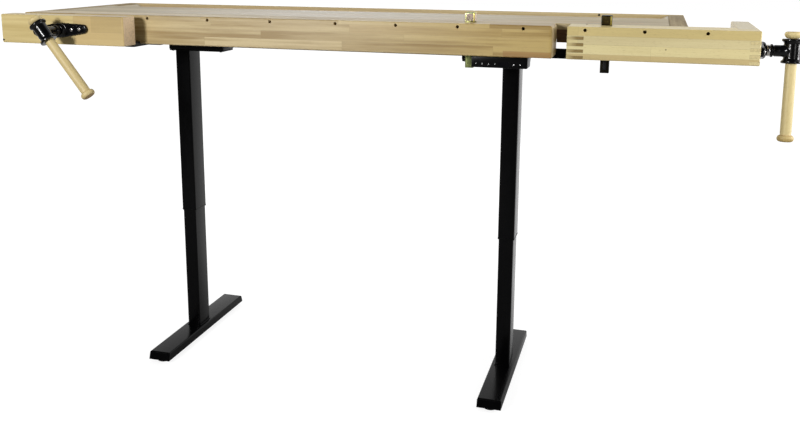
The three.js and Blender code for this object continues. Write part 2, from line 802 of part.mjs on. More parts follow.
function makeTailVise() {
  const fingerBottom = (index) => railBottom + fingerStart + index * fingerPitch;
  const fingerIndexes = Array.from({ length: fingerCount }, (unused, index) => index);
  const fingers = (x0, x1, gap) => fingerIndexes.map((index) => block(
    x0 - gap, x1 + gap, -gap, chopBoardThick + seat + past,
    fingerBottom(index) - gap, fingerBottom(index) + fingerHeight + gap));
  const endFingerLeft = chopRight - endFingerThick;

  const frontBoard = board(chopLeft, chopRight, 0, chopBoardThick, railBottom, topHeight);
  add('tail_front_board', cut(
    frontBoard,
    ...chopPegs.map((x) => pegHole(chopLeft + x)),
    ...fingers(chopLeft - past, chopLeft + jawBlockThick, seat),
    ...fingers(endFingerLeft, chopRight + past, seat)), beech);

  const blockFront = chopBoardThick + seat;
  const slideBarSlot = block(
    chopLeft - past, chopRight, slideBarFront - runFit, beamThick,
    railBottom - past, slideBarTop + runFit);
  const jawBlock = board(
    chopLeft, chopLeft + jawBlockThick, blockFront, chopBack, railBottom, topHeight);
  add('tail_jaw_block', cut(
    join(jawBlock, ...fingers(chopLeft, chopLeft + jawBlockThick, 0)), slideBarSlot), beech);

  const endBlock = board(
    endBlockLeft, chopRight, blockFront, endBlockDepth, railBottom, topHeight);
  const endSpindleHole = alongX(rod(
    spindleDiameter + 2 * runFit, endBlockLeft - past, chopRight + past))
    .translate(0, tailScrewY, tailScrewZ);
  add('tail_end_block', cut(
    join(endBlock, ...fingers(endFingerLeft, chopRight, 0)), endSpindleHole), beech);

  const coverLeft = chopLeft + jawBlockThick + seat;
  const cover = board(
    coverLeft, endBlockLeft - seat, blockFront, chopBack, topHeight - coverThick, topHeight);
  const dogBlock = block(
    tailDogX - dogBlockLength / 2, tailDogX + dogBlockLength / 2,
    blockFront, chopBack, railBottom, topHeight - coverThick + ease);
  add('tail_cover', cut(join(cover, dogBlock), slideBarSlot, ...dogHole(tailDogX)), beech);

  const keeper = board(
    chopLeft + keeperInset, chopLeft + keeperInset + keeperLength,
    blockFront + keeperInset, slideBarFront - runFit,
    railBottom - seat - keeperThick, railBottom - seat, seat);
  add('tail_keeper_plate', cut(keeper, ...dogHole(tailDogX)), powderCoat);

  add('tail_slide_bar', block(
    beamRight - slideBarMortise, topRight,
    slideBarFront, slideBarFront + slideBarThick,
    slideBarBottom, slideBarTop), powderCoat);

  const capMiddle = topRight - capThick / 2;
  const nutBlock = board(
    capMiddle - tailNutLength / 2, capMiddle + tailNutLength / 2,
    tailNutFront, beamThick - seat,
    slideBarTop + seat, tailScrewZ + tailNutRise, tailNutChamfer);
  const nutBore = alongX(rod(spindleDiameter + 2 * runFit, beamRight, topRight))
    .translate(0, tailScrewY, tailScrewZ);
  add('tail_nut', cut(nutBlock, nutBore), castIron);

  const outward = new THREE.Vector3(1, 0, 0);
  const face = new THREE.Vector3(chopRight, tailScrewY, tailScrewZ);
  add('tail_flange', viseFlange(tailFlangeLength), castIron,
    turnedGroup(face, new THREE.Vector3(0, 1, 0), outward));
  const tilt = THREE.MathUtils.degToRad(tailHandleTilt);
  const alongHandle = new THREE.Vector3(0, -Math.sin(tilt), -Math.cos(tilt));
  addScrew(turnedGroup(face, alongHandle, outward), 'tail', tailSpindleLength);
}

// A square steel dog, stood up by the height of its head
function benchDog(x) {
  const top = topHeight + dogRaised;
  const shank = block(
    x - dogWidth / 2, x + dogWidth / 2, dogY - dogDepth / 2, dogY + dogDepth / 2,
    top - dogLength, topHeight + ease);
  const head = board(
    x - dogHeadWidth / 2, x + dogHeadWidth / 2,
    dogY - dogHeadDepth / 2, dogY + dogHeadDepth / 2,
    topHeight, top, dogChamfer);
  return join(shank, head);
}

makeTop();
makeFrame();
makeFeet();
makeHandset();
makeFrontVise();
makeTailVise();
add('beam_dog', benchDog(beamDogX), yellowZinc);
add('tail_dog', benchDog(tailDogX), yellowZinc);

// The origin is on the floor under the middle of the bench
bench.updateMatrixWorld(true);
const extent = new THREE.Box3().setFromObject(bench, true);
const middle = extent.getCenter(new THREE.Vector3());
bench.position.set(-middle.x, -middle.y, -extent.min.z);

export default bench;
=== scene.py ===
import math

import bmesh
import bpy
from mathutils import Matrix, Vector


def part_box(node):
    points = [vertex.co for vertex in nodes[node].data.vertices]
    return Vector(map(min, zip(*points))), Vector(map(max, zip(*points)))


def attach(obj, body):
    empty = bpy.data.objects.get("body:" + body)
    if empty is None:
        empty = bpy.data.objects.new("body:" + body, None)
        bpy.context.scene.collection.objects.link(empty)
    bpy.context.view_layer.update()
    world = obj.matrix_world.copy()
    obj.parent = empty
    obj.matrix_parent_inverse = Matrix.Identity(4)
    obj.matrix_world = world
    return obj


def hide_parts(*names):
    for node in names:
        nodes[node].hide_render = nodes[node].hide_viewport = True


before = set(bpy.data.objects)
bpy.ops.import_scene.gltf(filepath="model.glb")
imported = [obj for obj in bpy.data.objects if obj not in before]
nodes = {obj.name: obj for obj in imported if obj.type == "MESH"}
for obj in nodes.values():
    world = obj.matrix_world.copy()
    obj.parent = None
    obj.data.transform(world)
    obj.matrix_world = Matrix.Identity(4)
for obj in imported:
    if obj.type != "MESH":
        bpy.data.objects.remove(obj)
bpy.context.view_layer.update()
scene = bpy.context.scene
scene.view_settings.view_transform = "Standard"
mm = 0.001
black, white = (0, 0, 0), (1, 1, 1)
print("frame loaded with", len(nodes), "solids")


# A wire is a socket that can be added, multiplied and compared
class Wire:
    def __init__(self, paint, socket):
        self.paint = paint
        self.socket = socket

    def maths(self, operation, left, right=0.0):
        return self.paint.node("ShaderNodeMath", {"operation": operation}, [left, right])

    def other(self, output):
        return Wire(self.paint, self.socket.node.outputs[output])

    def __add__(self, value): return self.maths("ADD", self, value)
    def __radd__(self, value): return self.maths("ADD", value, self)
    def __sub__(self, value): return self.maths("SUBTRACT", self, value)
    def __rsub__(self, value): return self.maths("SUBTRACT", value, self)
    def __mul__(self, value): return self.maths("MULTIPLY", self, value)
    def __rmul__(self, value): return self.maths("MULTIPLY", value, self)
    def __truediv__(self, value): return self.maths("DIVIDE", self, value)
    def __rtruediv__(self, value): return self.maths("DIVIDE", value, self)
    def __pow__(self, value): return self.maths("POWER", self, value)
    def __gt__(self, value): return self.maths("GREATER_THAN", self, value)
    def __lt__(self, value): return self.maths("LESS_THAN", self, value)
    def __abs__(self): return self.maths("ABSOLUTE", self)
    def __floor__(self): return self.maths("FLOOR", self)


# A paint builds the nodes of a material or of the world
class Paint:
    def __init__(self, owner):
        self.owner = owner
        owner.use_nodes = True
        self.tree = owner.node_tree

    def node(self, kind, settings=None, sockets=None, out=0):
        made = self.tree.nodes.new(kind)
        for key, value in (settings or {}).items():
            setattr(made, key, value)
        pairs = sockets.items() if isinstance(sockets, dict) else enumerate(sockets or [])
        for key, value in pairs:
            self.link(made.inputs[key], value)
        return Wire(self, made.outputs[out])

    def link(self, socket, value):
        if isinstance(value, Wire):
            self.tree.links.new(value.socket, socket)
        else:
            socket.default_value = value

    def set(self, values):
        for key, value in values.items():
            self.link(self.tree.nodes["Principled BSDF"].inputs[key], value)
        return self

    def vector(self, x, y, z):
        return self.node("ShaderNodeCombineXYZ", None, [x, y, z])

    def parts(self, vector):
        first = self.node("ShaderNodeSeparateXYZ", None, [vector])
        return first, first.other("Y"), first.other("Z")

    def mix(self, share, first, second):
        first, second = (colour if isinstance(colour, Wire) else (*colour, 1) for colour in (first, second))
        return self.node("ShaderNodeMix", {"data_type": "RGBA"}, {0: share, 6: first, 7: second}, out=2)

    def lesser(self, first, second):
        return self.node("ShaderNodeMath", {"operation": "MINIMUM"}, [first, second])

    def noise(self, vector, scale, detail=2.0, roughness=0.5):
        return self.node("ShaderNodeTexNoise", None, {
            "Vector": vector, "Scale": scale, "Detail": detail, "Roughness": roughness})

    def chance(self, x, y, z):
        return self.node("ShaderNodeTexWhiteNoise", {"noise_dimensions": "3D"}, {"Vector": self.vector(x, y, z)})

    def range(self, value, low, high, first=0.0, last=1.0):
        return self.node("ShaderNodeMapRange", {"clamp": True}, [value, low, high, first, last])

    def bump(self, height, strength, distance):
        return self.node("ShaderNodeBump", None, {
            "Strength": strength, "Distance": distance, "Height": height})

    def place(self):
        return self.node("ShaderNodeTexCoord", out="Object")

    def facing(self):
        return self.node("ShaderNodeTexCoord", out="Normal")


def newPaint(name):
    return Paint(bpy.data.materials.new(name))


def darker(colour, share):
    return tuple(part * share for part in colour)


# The ends of a solid along x, y and z, in millimetres
def span(name):
    low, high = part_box(name)
    return [(low[axis] / mm, high[axis] / mm) for axis in range(3)]


# Wood: staves glued side by side, jointed along their length
# A stave is its width, height and length, and its tones are pale, deep and end grain; on the beam and the jaw the
# end-grain tone is painted paler than the face, as painted light
# A patch is its ends along x and z, its colour and how much of it shows; most are staves of another colour, the slab's
# is a painted shadow
beamRight = span("front_beam")[0][1] * mm
jawRight = span("front_jaw")[0][1] * mm
chopLeft = span("tail_front_board")[0][0] * mm
benchTop = span("front_beam")[2][1] * mm
plainBoard = {"grain": "x", "contrast": 0.5, "streaks": 0.45, "coat": 0.0, "coatRough": 0.16, "rough": 0.4,
              "patches": []}
woods = {
    "beamWood": {
        "stave": (0.052, 0.0235, 0.42), "seed": 3.0, "contrast": 0.75, "streaks": 1.05, "coat": 0.1,
        # the end-grain tone is painted paler than the face: a painted highlight on the beam's rounded right end
        "tones": ((0.545, 0.43, 0.225), (0.3, 0.2, 0.07), (0.6, 0.48, 0.27)), "golden": (-0.35, 0.2, 0.7),
        "patches": [(beamRight - 0.127, beamRight + 0.01, benchTop - 0.085, benchTop - 0.0685,
                     (0.36, 0.19, 0.06), 0.7)]},
    "slabWood": {
        "stave": (0.043, 0.06, 0.62), "seed": 11.0, "contrast": 0.7, "streaks": 1.1,
        "tones": ((0.455, 0.37, 0.205), (0.3, 0.225, 0.105), (0.42, 0.32, 0.19)),
        "coat": 0.72, "coatRough": 0.24, "rough": 0.5, "sheen": (-0.2, 0.7),
        # the slab's patch is a painted shadow: its front edge in the tail-vise gap, dark below a lit strip at the top
        "patches": [(beamRight - 0.05, beamRight + 0.1, benchTop - 0.07, benchTop - 0.016, (0.12, 0.052, 0.02), 0.95)]},
    "railWood": {
        "stave": (0.1, 0.028, 0.7), "seed": 23.0, "contrast": 0.6, "streaks": 0.6, "rough": 0.6,
        "tones": ((0.56, 0.45, 0.24), (0.44, 0.325, 0.15), (0.36, 0.28, 0.16))},
    "capWood": {
        "grain": "y", "stave": (0.1, 0.028, 0.8), "seed": 31.0, "contrast": 0.6, "streaks": 0.7, "rough": 0.68,
        "tones": ((0.4, 0.31, 0.155), (0.2, 0.14, 0.055), (0.32, 0.24, 0.12))},
    "jawWood": {
        "stave": (0.2, 0.3, 0.61), "seed": 5.0, "contrast": 0.25, "streaks": 0.7, "coat": 0.1,
        # the end-grain tone is painted paler than the face, standing in for the light that falls on the jaw's right end
        "tones": ((0.63, 0.51, 0.24), (0.48, 0.36, 0.14), (0.74, 0.56, 0.36)),
        "patches": [(jawRight - 0.105, jawRight - 0.006, benchTop - 0.046, benchTop, (0.46, 0.335, 0.14), 0.55)]},
    "chopWood": {
        "stave": (0.06, 0.16, 0.75), "seed": 9.0, "contrast": 0.4, "coat": 0.15,
        "tones": ((0.72, 0.625, 0.33), (0.57, 0.465, 0.215), (0.44, 0.33, 0.17)),
        "knot": (chopLeft + 0.2435, benchTop - 0.0515),
        "patches": [(chopLeft - 0.01, chopLeft + 0.5, benchTop - 0.0228, benchTop + 0.01, (0.65, 0.505, 0.195), 0.75),
                    (chopLeft - 0.01, chopLeft + 0.5, benchTop - 0.1, benchTop - 0.069, (0.54, 0.4, 0.175), 0.7)]},
    "jawBlockWood": {
        "grain": "y", "stave": (0.1, 0.042, 0.7), "seed": 14.0, "coat": 0.15,
        "tones": ((0.66, 0.56, 0.29), (0.53, 0.42, 0.19), (0.26, 0.18, 0.055)),
        "fade": (chopLeft + 0.008, chopLeft + 0.026)},
    "endBlockWood": {
        "grain": "y", "stave": (0.1, 0.042, 0.7), "seed": 16.0, "coat": 0.15,
        "tones": ((0.66, 0.56, 0.3), (0.53, 0.42, 0.19), (0.64, 0.535, 0.27))},
    "battenWood": {
        "grain": "y", "stave": (0.1, 0.1, 0.9), "seed": 41.0, "streaks": 0.5, "coat": 0.1,
        "tones": ((0.55, 0.45, 0.26), (0.42, 0.32, 0.16), (0.4, 0.3, 0.17))},
    "frontHandleWood": {
        "stave": (0.2, 0.2, 2.0), "seed": 51.0, "contrast": 0.3, "streaks": 0.3, "rough": 0.52, "tilt": 38,
        "tones": ((0.61, 0.5, 0.25), (0.48, 0.365, 0.155), (0.43, 0.285, 0.12))},
    "tailHandleWood": {
        "stave": (0.2, 0.2, 2.0), "seed": 57.0, "contrast": 0.3, "streaks": 0.3, "rough": 0.52, "tilt": 0,
        "tones": ((0.66, 0.55, 0.28), (0.51, 0.395, 0.165), (0.46, 0.305, 0.125)),
        "golden": (-1.05, 0.192, 0.206)},
}
grain = {  # strands have a scale along and across the grain, a detail and a roughness
    "figure": (2.1, 26.0, 3.0, 0.55), "rings": (0.8, 95.0, 1.0, 0.5), "fibre": (13.0, 430.0, 3.0, 0.6),
    "fleck": (110.0, 950.0, 1.0, 0.5), "pores": 700.0, "glueLine": 0.00035, "patchEdge": 0.0004, "finger": 0.0165,
    "knot": 0.0026, "baseTone": 0.44, "ringShare": 0.6, "fibreShare": 0.7, "goldShare": 0.85, "fleckShare": 0.22,
    "glueShare": 0.3, "goldPale": (0.48, 0.345, 0.115), "goldDeep": (0.26, 0.155, 0.035),
    "fleckTone": (0.25, 0.16, 0.07), "glueTone": (0.21, 0.135, 0.06), "ringTone": (0.16, 0.1, 0.05),
    "knotTone": (0.1, 0.05, 0.02)}
oddStaves = [((0.42, 0.27, 0.11), 0.86, 0.97, 0.45), ((0.47, 0.41, 0.28), 0.75, 1.0, 0.4)]  # redder, greyer


def woodPaint(name):
    look = {**plainBoard, **woods[name]}
    wide, tall, long = look["stave"]
    pale, deep, endTone = look["tones"]
    paint = newPaint(name)
    point, normal = paint.place(), paint.facing()
    if "tilt" in look:  # lay the grain of a turned handle along its own axis
        turn = (0, math.radians(look["tilt"] - 90), 0)
        point = paint.node("ShaderNodeMapping", None, {"Vector": point, "Rotation": turn})
        normal = paint.node("ShaderNodeMapping", None, {"Vector": normal, "Rotation": turn})
    x, y, z = paint.parts(point)
    nx, ny = paint.parts(normal)[:2]
    along, across, end = (x, y, nx) if look["grain"] == "x" else (y, x, ny)

    # Each block of each stave draws its own tone and its own piece of grain
    rowPlace = across / wide + look["seed"]
    layerPlace = z / tall + look["seed"] * 0.37
    row, layer = math.floor(rowPlace), math.floor(layerPlace)
    blockPlace = along / long + paint.chance(row, layer, 0.0)
    chance = paint.chance(row, layer, math.floor(blockPlace))
    red, green, blue = paint.parts(chance.other("Color"))
    shift = chance * 17.0

    def strands(kind, first=0.0, second=0.0, third=0.0):
        lengthwise, crosswise, detail, roughness = grain[kind]
        return paint.noise(paint.vector(along * lengthwise + first, across * crosswise + second,
                                        z * crosswise + third), 1.0, detail, roughness)

    figure = paint.range(strands("figure", shift, shift, -1.0 * shift), 0.3, 0.7)
    rings = paint.range(strands("rings", shift, figure * 0.7, shift), 0.3, 0.7)
    fibre = strands("fibre", shift)
    fleck = paint.range(strands("fleck"), 0.62, 0.72)

    tone = (red - 0.5) * look["contrast"] + (figure - 0.5) * look["streaks"]
    tone = tone + (rings - 0.5) * look["streaks"] * grain["ringShare"] + (fibre - 0.5) * grain["fibreShare"]
    depth = paint.range(tone + grain["baseTone"], 0.0, 1.0)
    body = paint.mix(depth, pale, deep)
    for draw, (colour, first, last, share) in zip((green, blue), oddStaves):
        body = paint.mix(paint.range(draw, first, last) * share, body, colour)
    if "golden" in look:  # the wood turns more golden towards its ends
        middle, first, last = look["golden"]
        gold = paint.mix(depth, grain["goldPale"], grain["goldDeep"])
        body = paint.mix(paint.range(abs(along - middle), first, last, 0.0, grain["goldShare"]), body, gold)
    edges = 0.0
    for left, right, low, high, colour, share in look["patches"]:  # staves of another colour, and on the slab a painted shadow in the tail-vise gap; not on the back
        front = ny < 0.5
        inside = paint.lesser(paint.lesser(along - left, right - along), paint.lesser(z - low, high - z))
        shaded = paint.mix(paint.range(figure + (fibre - 0.5) * 0.5, 0.0, 1.0), colour, darker(colour, 0.8))
        body = paint.mix(paint.range(inside, 0.0, grain["patchEdge"]) * front * share, body, shaded)
        edges = edges + (abs(inside) < grain["patchEdge"]) * front
    body = paint.mix(fleck * grain["fleckShare"], body, grain["fleckTone"])

    def nearEdge(position, pitch):
        return abs(position - math.floor(position) - 0.5) > 0.5 - grain["glueLine"] / pitch

    seams = nearEdge(rowPlace, wide) + nearEdge(layerPlace, tall)
    seams = paint.range(seams + nearEdge(blockPlace, long) + edges, 0.0, 1.0)
    body = paint.mix(seams * grain["glueShare"], body, grain["glueTone"])

    pores = paint.noise(point, grain["pores"], 2.0, 0.6)
    endGrain = paint.mix(paint.range(pores, 0.42, 0.7), endTone, darker(endTone, 0.84))
    endGrain = paint.mix(paint.range(abs(rings - 0.5), 0.0, 0.2, 0.2, 0.0), endGrain, grain["ringTone"])
    isEnd = paint.range(abs(end), 0.75, 0.9)
    endShare = isEnd
    if "fade" in look:  # fingers whose end grain is polished pale towards the corner
        finger = paint.chance(math.floor(z / grain["finger"]), 0.0, 0.0)
        ragged = x + (finger - 0.5) * 0.012 + (figure - 0.5) * 0.01
        endShare = isEnd * paint.range(ragged, *look["fade"], 0.25, 1.0)
    # end faces take the end-grain tone, which on the beam and the jaw holds painted light
    body = paint.mix(endShare, body, endGrain)
    if "knot" in look:
        knotX, knotZ = look["knot"]
        away = ((x - knotX) ** 2.0 + (z - knotZ) ** 2.0) ** 0.5
        body = paint.mix(paint.range(away, grain["knot"] * 0.4, grain["knot"], 0.85, 0.0), body, grain["knotTone"])

    coat = look["coat"]
    if "sheen" in look:  # streaks of polish, worn off towards the ends
        middle, reach = look["sheen"]
        worn = paint.range(abs(along - middle), 0.1, reach, coat, 0.05)
        coat = worn * paint.range(figure + (rings - 0.5) * 0.6, 0.0, 1.0, 0.6, 1.4)
    return paint.set({
        "Base Color": body,
        "Roughness": look["rough"] + (fibre - 0.5) * 0.25 + isEnd * 0.18,
        "Normal": paint.bump(fibre + fleck * 0.5 - seams * 0.6, 0.22, 0.0004),
        "Coat Weight": coat,
        "Coat Roughness": look["coatRough"],
    })


# Plywood of the tray floor: rotary veneer with layered edges
ply = {"pale": (0.46, 0.375, 0.22), "deep": (0.36, 0.28, 0.15), "glue": (0.22, 0.15, 0.075), "layer": 0.0016,
       "rough": 0.42, "coat": 0.3, "coatRough": 0.2}


def plyPaint():
    paint = newPaint("trayPly")
    x, y, z = paint.parts(paint.place())
    nz = paint.parts(paint.facing())[2]
    swirl = paint.noise(paint.vector(x * 1.6, y * 9.0, z * 3.0), 1.0, 4.0, 0.6)
    fibre = paint.noise(paint.vector(x * 12.0, y * 380.0, z * 60.0), 1.0, 2.0)
    half = math.floor(z / ply["layer"]) / 2.0
    odd = (half - math.floor(half)) * 2.0
    face = paint.mix(paint.range(swirl * 0.7 + fibre * 0.45, 0.35, 0.8), ply["pale"], ply["deep"])
    body = paint.mix(paint.range(abs(nz), 0.4, 0.6), paint.mix(odd, ply["pale"], ply["glue"]), face)
    return paint.set({"Base Color": body, "Roughness": ply["rough"] + (fibre - 0.5) * 0.2,
                      "Normal": paint.bump(fibre, 0.2, 0.0003), "Coat Weight": ply["coat"],
                      "Coat Roughness": ply["coatRough"]})


# Black finishes
blacks = {
    "powder": {"dark": (0.0008, 0.0008, 0.0009), "pale": (0.0015, 0.0015, 0.0017), "grit": 1500.0, "rough": 0.2,
               "shine": 0.125, "dust": 0.01},
    "mould": {"dark": (0.001, 0.001, 0.001), "pale": (0.002, 0.002, 0.002), "grit": 1300.0, "rough": 0.3,
              "shine": 0.12, "dust": 0.01},
    "glass": {"dark": (0.0015, 0.0015, 0.002), "pale": (0.003, 0.003, 0.004), "grit": 300.0, "rough": 0.12,
              "shine": 0.25, "dust": 0.02},
    "nylon": {"dark": (0.004, 0.004, 0.004), "pale": (0.008, 0.008, 0.008), "grit": 900.0, "rough": 0.55,
              "shine": 0.25, "dust": 0.1},
    "enamel": {"dark": (0.0012, 0.0012, 0.0014), "pale": (0.0024, 0.0024, 0.0028), "grit": 420.0, "rough": 0.2,
               "shine": 0.36, "dust": 0.04},
}
dustTone = (0.1, 0.098, 0.095)


def blackPaint(name):
    look = blacks[name]
    paint = newPaint(name)
    point = paint.place()
    fine = paint.noise(point, look["grit"], 2.0, 0.6)
    lumps = paint.noise(point, 60.0, 3.0)
    dust = paint.range(paint.noise(point, 190.0, 4.0, 0.7), 0.62, 0.78)
    body = paint.mix(paint.range(lumps, 0.3, 0.7), look["dark"], look["pale"])
    body = paint.mix(dust * look["dust"], body, dustTone)
    return paint.set({"Base Color": body, "Roughness": look["rough"] + (fine - 0.5) * 0.18 + dust * 0.08,
                      "Specular IOR Level": look["shine"], "Normal": paint.bump(fine + lumps * 0.6, 0.18, 0.0003)})


# Bare and plated metals, brushed along one axis
metals = {  # the tones are tint, shade and spots
    "barSteel": {"tones": ((0.035, 0.035, 0.036), (0.02, 0.02, 0.02), (0.05, 0.045, 0.04)), "rough": 0.4, "axis": "y"},
    "railSteel": {"tones": ((0.012, 0.012, 0.013), (0.007, 0.007, 0.008), (0.02, 0.02, 0.02)), "rough": 0.42,
                  "axis": "x"},
    "screwSteel": {"tones": ((0.72, 0.7, 0.68), (0.48, 0.46, 0.44), (0.5, 0.48, 0.46)), "rough": 0.24},
    "threadSteel": {"tones": ((0.34, 0.33, 0.32), (0.2, 0.19, 0.18), (0.15, 0.13, 0.11)), "rough": 0.32},
    # the dark bolt finish is also painted on the front vise's thrust ring as painted shade
    "darkBoltAndPaintedShade": {"tones": ((0.05, 0.05, 0.052), (0.03, 0.03, 0.031), (0.06, 0.055, 0.05)), "rough": 0.4},
    "brightZinc": {"tones": ((0.6, 0.58, 0.22), (0.44, 0.52, 0.22), (0.66, 0.46, 0.36)), "rough": 0.34,
                   "dull": (benchTop - 0.06, benchTop - 0.01, (0.2, 0.24, 0.09))},
    "brightGrip": {"tones": ((0.74, 0.66, 0.56), (0.76, 0.6, 0.55), (0.62, 0.6, 0.36)), "rough": 0.3},
    "darkZinc": {"tones": ((0.026, 0.024, 0.016), (0.014, 0.013, 0.01), (0.07, 0.058, 0.03)), "rough": 0.36},
    "darkGrip": {"tones": ((0.075, 0.055, 0.02), (0.03, 0.022, 0.01), (0.3, 0.23, 0.06)), "rough": 0.4},
    "yellowEdge": {"tones": ((0.74, 0.62, 0.16), (0.52, 0.42, 0.11), (0.2, 0.14, 0.04)), "rough": 0.36},
}
brushing = {"along": 6.0, "across": 900.0}


def metalPaint(name):
    look = metals[name]
    paint = newPaint(name)
    point = paint.place()
    lay = look.get("axis", "z")
    tint, shade, spot = look["tones"]
    scaled = [part * brushing["along" if axis == lay else "across"] for axis, part in zip("xyz", paint.parts(point))]
    lines = paint.noise(paint.vector(*scaled), 1.0, 2.0)
    cloud = paint.noise(point, 55.0, 4.0, 0.65)
    spots = paint.noise(point, 260.0, 3.0, 0.6)
    body = paint.mix(paint.range(cloud, 0.35, 0.65), tint, shade)
    body = paint.mix(paint.range(spots, 0.55, 0.75) * 0.6, body, spot)
    if "dull" in look:  # the plating is duller below the top
        low, high, colour = look["dull"]
        body = paint.mix(paint.range(paint.parts(point)[2], low, high, 0.8, 0.0), body, colour)
    return paint.set({"Base Color": body, "Metallic": 1.0,
                      "Roughness": look["rough"] + (lines - 0.5) * 0.2 + (cloud - 0.5) * 0.2,
                      "Normal": paint.bump(lines + spots * 0.4, 0.1, 0.0002)})


# White print of the key marks
keyInk = {"thin": (0.78, 0.78, 0.77), "full": (0.9, 0.9, 0.9), "grit": 2500.0, "rough": 0.5}


def printPaint():
    paint = newPaint("keyPrint")
    grit = paint.noise(paint.place(), keyInk["grit"], 2.0)
    body = paint.mix(paint.range(grit, 0.3, 0.7), keyInk["thin"], keyInk["full"])
    return paint.set({"Base Color": body, "Roughness": keyInk["rough"] + (grit - 0.5) * 0.2})


paints = {name: woodPaint(name) for name in woods}
paints.update({name: blackPaint(name) for name in blacks})
paints.update({name: metalPaint(name) for name in metals})
paints.update({"trayPly": plyPaint(), "keyPrint": printPaint()})
print("finishes ready:", len(paints))

# The solids that keep their own shape
nodePaint = {
    "beamWood": ["front_beam"],
    "slabWood": ["top_slab"],
    "railWood": ["back_rail"],
    "capWood": ["left_end_cap", "right_end_cap"],
    "jawWood": ["front_jaw"],
    "chopWood": ["tail_front_board", "tail_cover"],
    "jawBlockWood": ["tail_jaw_block"],
    "endBlockWood": ["tail_end_block"],
    "battenWood": ["cross_batten_left", "cross_batten_right"],
    "trayPly": ["tray_floor"],
    "powder": ["support_arm_left", "support_arm_right", "front_guide_shoe_left", "front_guide_shoe_right"],
    "barSteel": ["front_guide_bar_left", "front_guide_bar_right", "lift_spindle_left", "lift_spindle_right"],
    "railSteel": ["tail_slide_bar", "tail_keeper_plate"],
    "enamel": ["front_nut", "tail_nut"],
    "mould": ["lift_nut_left", "lift_nut_right"],
}
for paintName, names in nodePaint.items():
    for name in names:
        nodes[name].data.materials.clear()
        nodes[name].data.materials.append(paints[paintName].owner)


# Shapes are bmeshes, drawn in millimetres
def moved(shape, matrix):
    bmesh.ops.transform(shape, matrix=matrix, verts=shape.verts)
    return shape


def shifted(shape, x, y, z):
    return moved(shape, Matrix.Translation((x * mm, y * mm, z * mm)))


def turned(shape, degrees, axis):
    return moved(shape, Matrix.Rotation(math.radians(degrees), 4, axis))


def tipped(shape, degrees, x, y, z):
    return shifted(turned(shape, degrees, "X"), x, y, z)


def placed(origin, xDirection, zDirection):
    zAxis = Vector(zDirection).normalized()
    xAxis = Vector(xDirection).normalized()
    turn = Matrix((xAxis, zAxis.cross(xAxis), zAxis)).transposed().to_4x4()
    return Matrix.Translation(origin) @ turn


def gathered(*shapes):
    whole = bmesh.new()
    for shape in shapes:
        mesh = bpy.data.meshes.new("part")
        shape.to_mesh(mesh)
        shape.free()
        whole.from_mesh(mesh)
        bpy.data.meshes.remove(mesh)
    return whole


def grown(ends, size):
    return (ends[0] - size, ends[1] + size)


def about(middle, half):
    return (middle - half, middle + half)


def beyond(start, ends):
    return (start + ends[0], start + ends[1])


# A line of points, each a radius and a height
def drawn(shape, profile, lift=0.0):
    ring = [shape.verts.new((radius * mm, 0, (height + lift) * mm)) for radius, height in profile]
    return ring + [shape.edges.new(pair) for pair in zip(ring, ring[1:])]


def lathe(profile, steps=64):
    shape = bmesh.new()
    bmesh.ops.spin(shape, geom=drawn(shape, profile), cent=(0, 0, 0), axis=(0, 0, 1),
                   angle=2 * math.pi, steps=steps, use_merge=True)
    bmesh.ops.remove_doubles(shape, verts=shape.verts, dist=1e-6)
    bmesh.ops.recalc_face_normals(shape, faces=shape.faces)
    return shape


# Closed to the axis at both ends
def turnedSolid(profile, steps=64):
    return lathe([(0, profile[0][1]), *profile, (0, profile[-1][1])], steps)


def arc(centreRadius, centreHeight, radius, first, last, steps=6):
    angles = [math.radians(first + (last - first) * step / steps) for step in range(steps + 1)]
    return [(centreRadius + radius * math.cos(a), centreHeight + radius * math.sin(a)) for a in angles]


def roundOff(shape, edges, radius, segments=3):
    bmesh.ops.bevel(shape, geom=edges, offset=radius * mm, offset_type="OFFSET", segments=segments,
                    profile=0.5, affect="EDGES", clamp_overlap=True, material=-1)
    return shape


def boxShape(x, y, z, radius=0.0, segments=3):
    shape = bmesh.new()
    bmesh.ops.create_cube(shape, size=1.0)
    size = Matrix.Diagonal(((x[1] - x[0]) * mm, (y[1] - y[0]) * mm, (z[1] - z[0]) * mm, 1))
    middle = Matrix.Translation((sum(x) / 2 * mm, sum(y) / 2 * mm, sum(z) / 2 * mm))
    moved(shape, middle @ size)
    if radius:
        roundOff(shape, shape.edges[:], radius, segments)
    return shape


# A box with round corners along one axis, and a softened rim at its ends
def columnShape(x, y, z, corner, rim=0.0, axis=2):
    shape = boxShape(x, y, z)
    runs = [(edge, edge.verts[1].co - edge.verts[0].co) for edge in shape.edges]
    roundOff(shape, [edge for edge, run in runs if abs(run[axis]) > 0.99 * run.length], corner, 5)
    if rim:
        shape.normal_update()
        ends = [edge for edge in shape.edges if len(edge.link_faces) == 2
                and abs(edge.link_faces[0].normal[axis] - edge.link_faces[1].normal[axis]) > 0.7]
        roundOff(shape, ends, rim, 3)
    return shape


def tubeShape(x, y, z, corner, wall, axis=2):
    shape = columnShape(x, y, z, corner, 0.0, axis)
    shape.normal_update()
    lids = [face for face in shape.faces if abs(face.normal[axis]) > 0.9]
    bmesh.ops.delete(shape, geom=lids, context="FACES_ONLY")
    bmesh.ops.recalc_face_normals(shape, faces=shape.faces)
    bmesh.ops.solidify(shape, geom=shape.faces[:], thickness=wall * mm)
    return shape


def asObject(shape, name):
    mesh = bpy.data.meshes.new(name)
    shape.to_mesh(mesh)
    shape.free()
    piece = bpy.data.objects.new(name, mesh)
    scene.collection.objects.link(piece)
    return piece


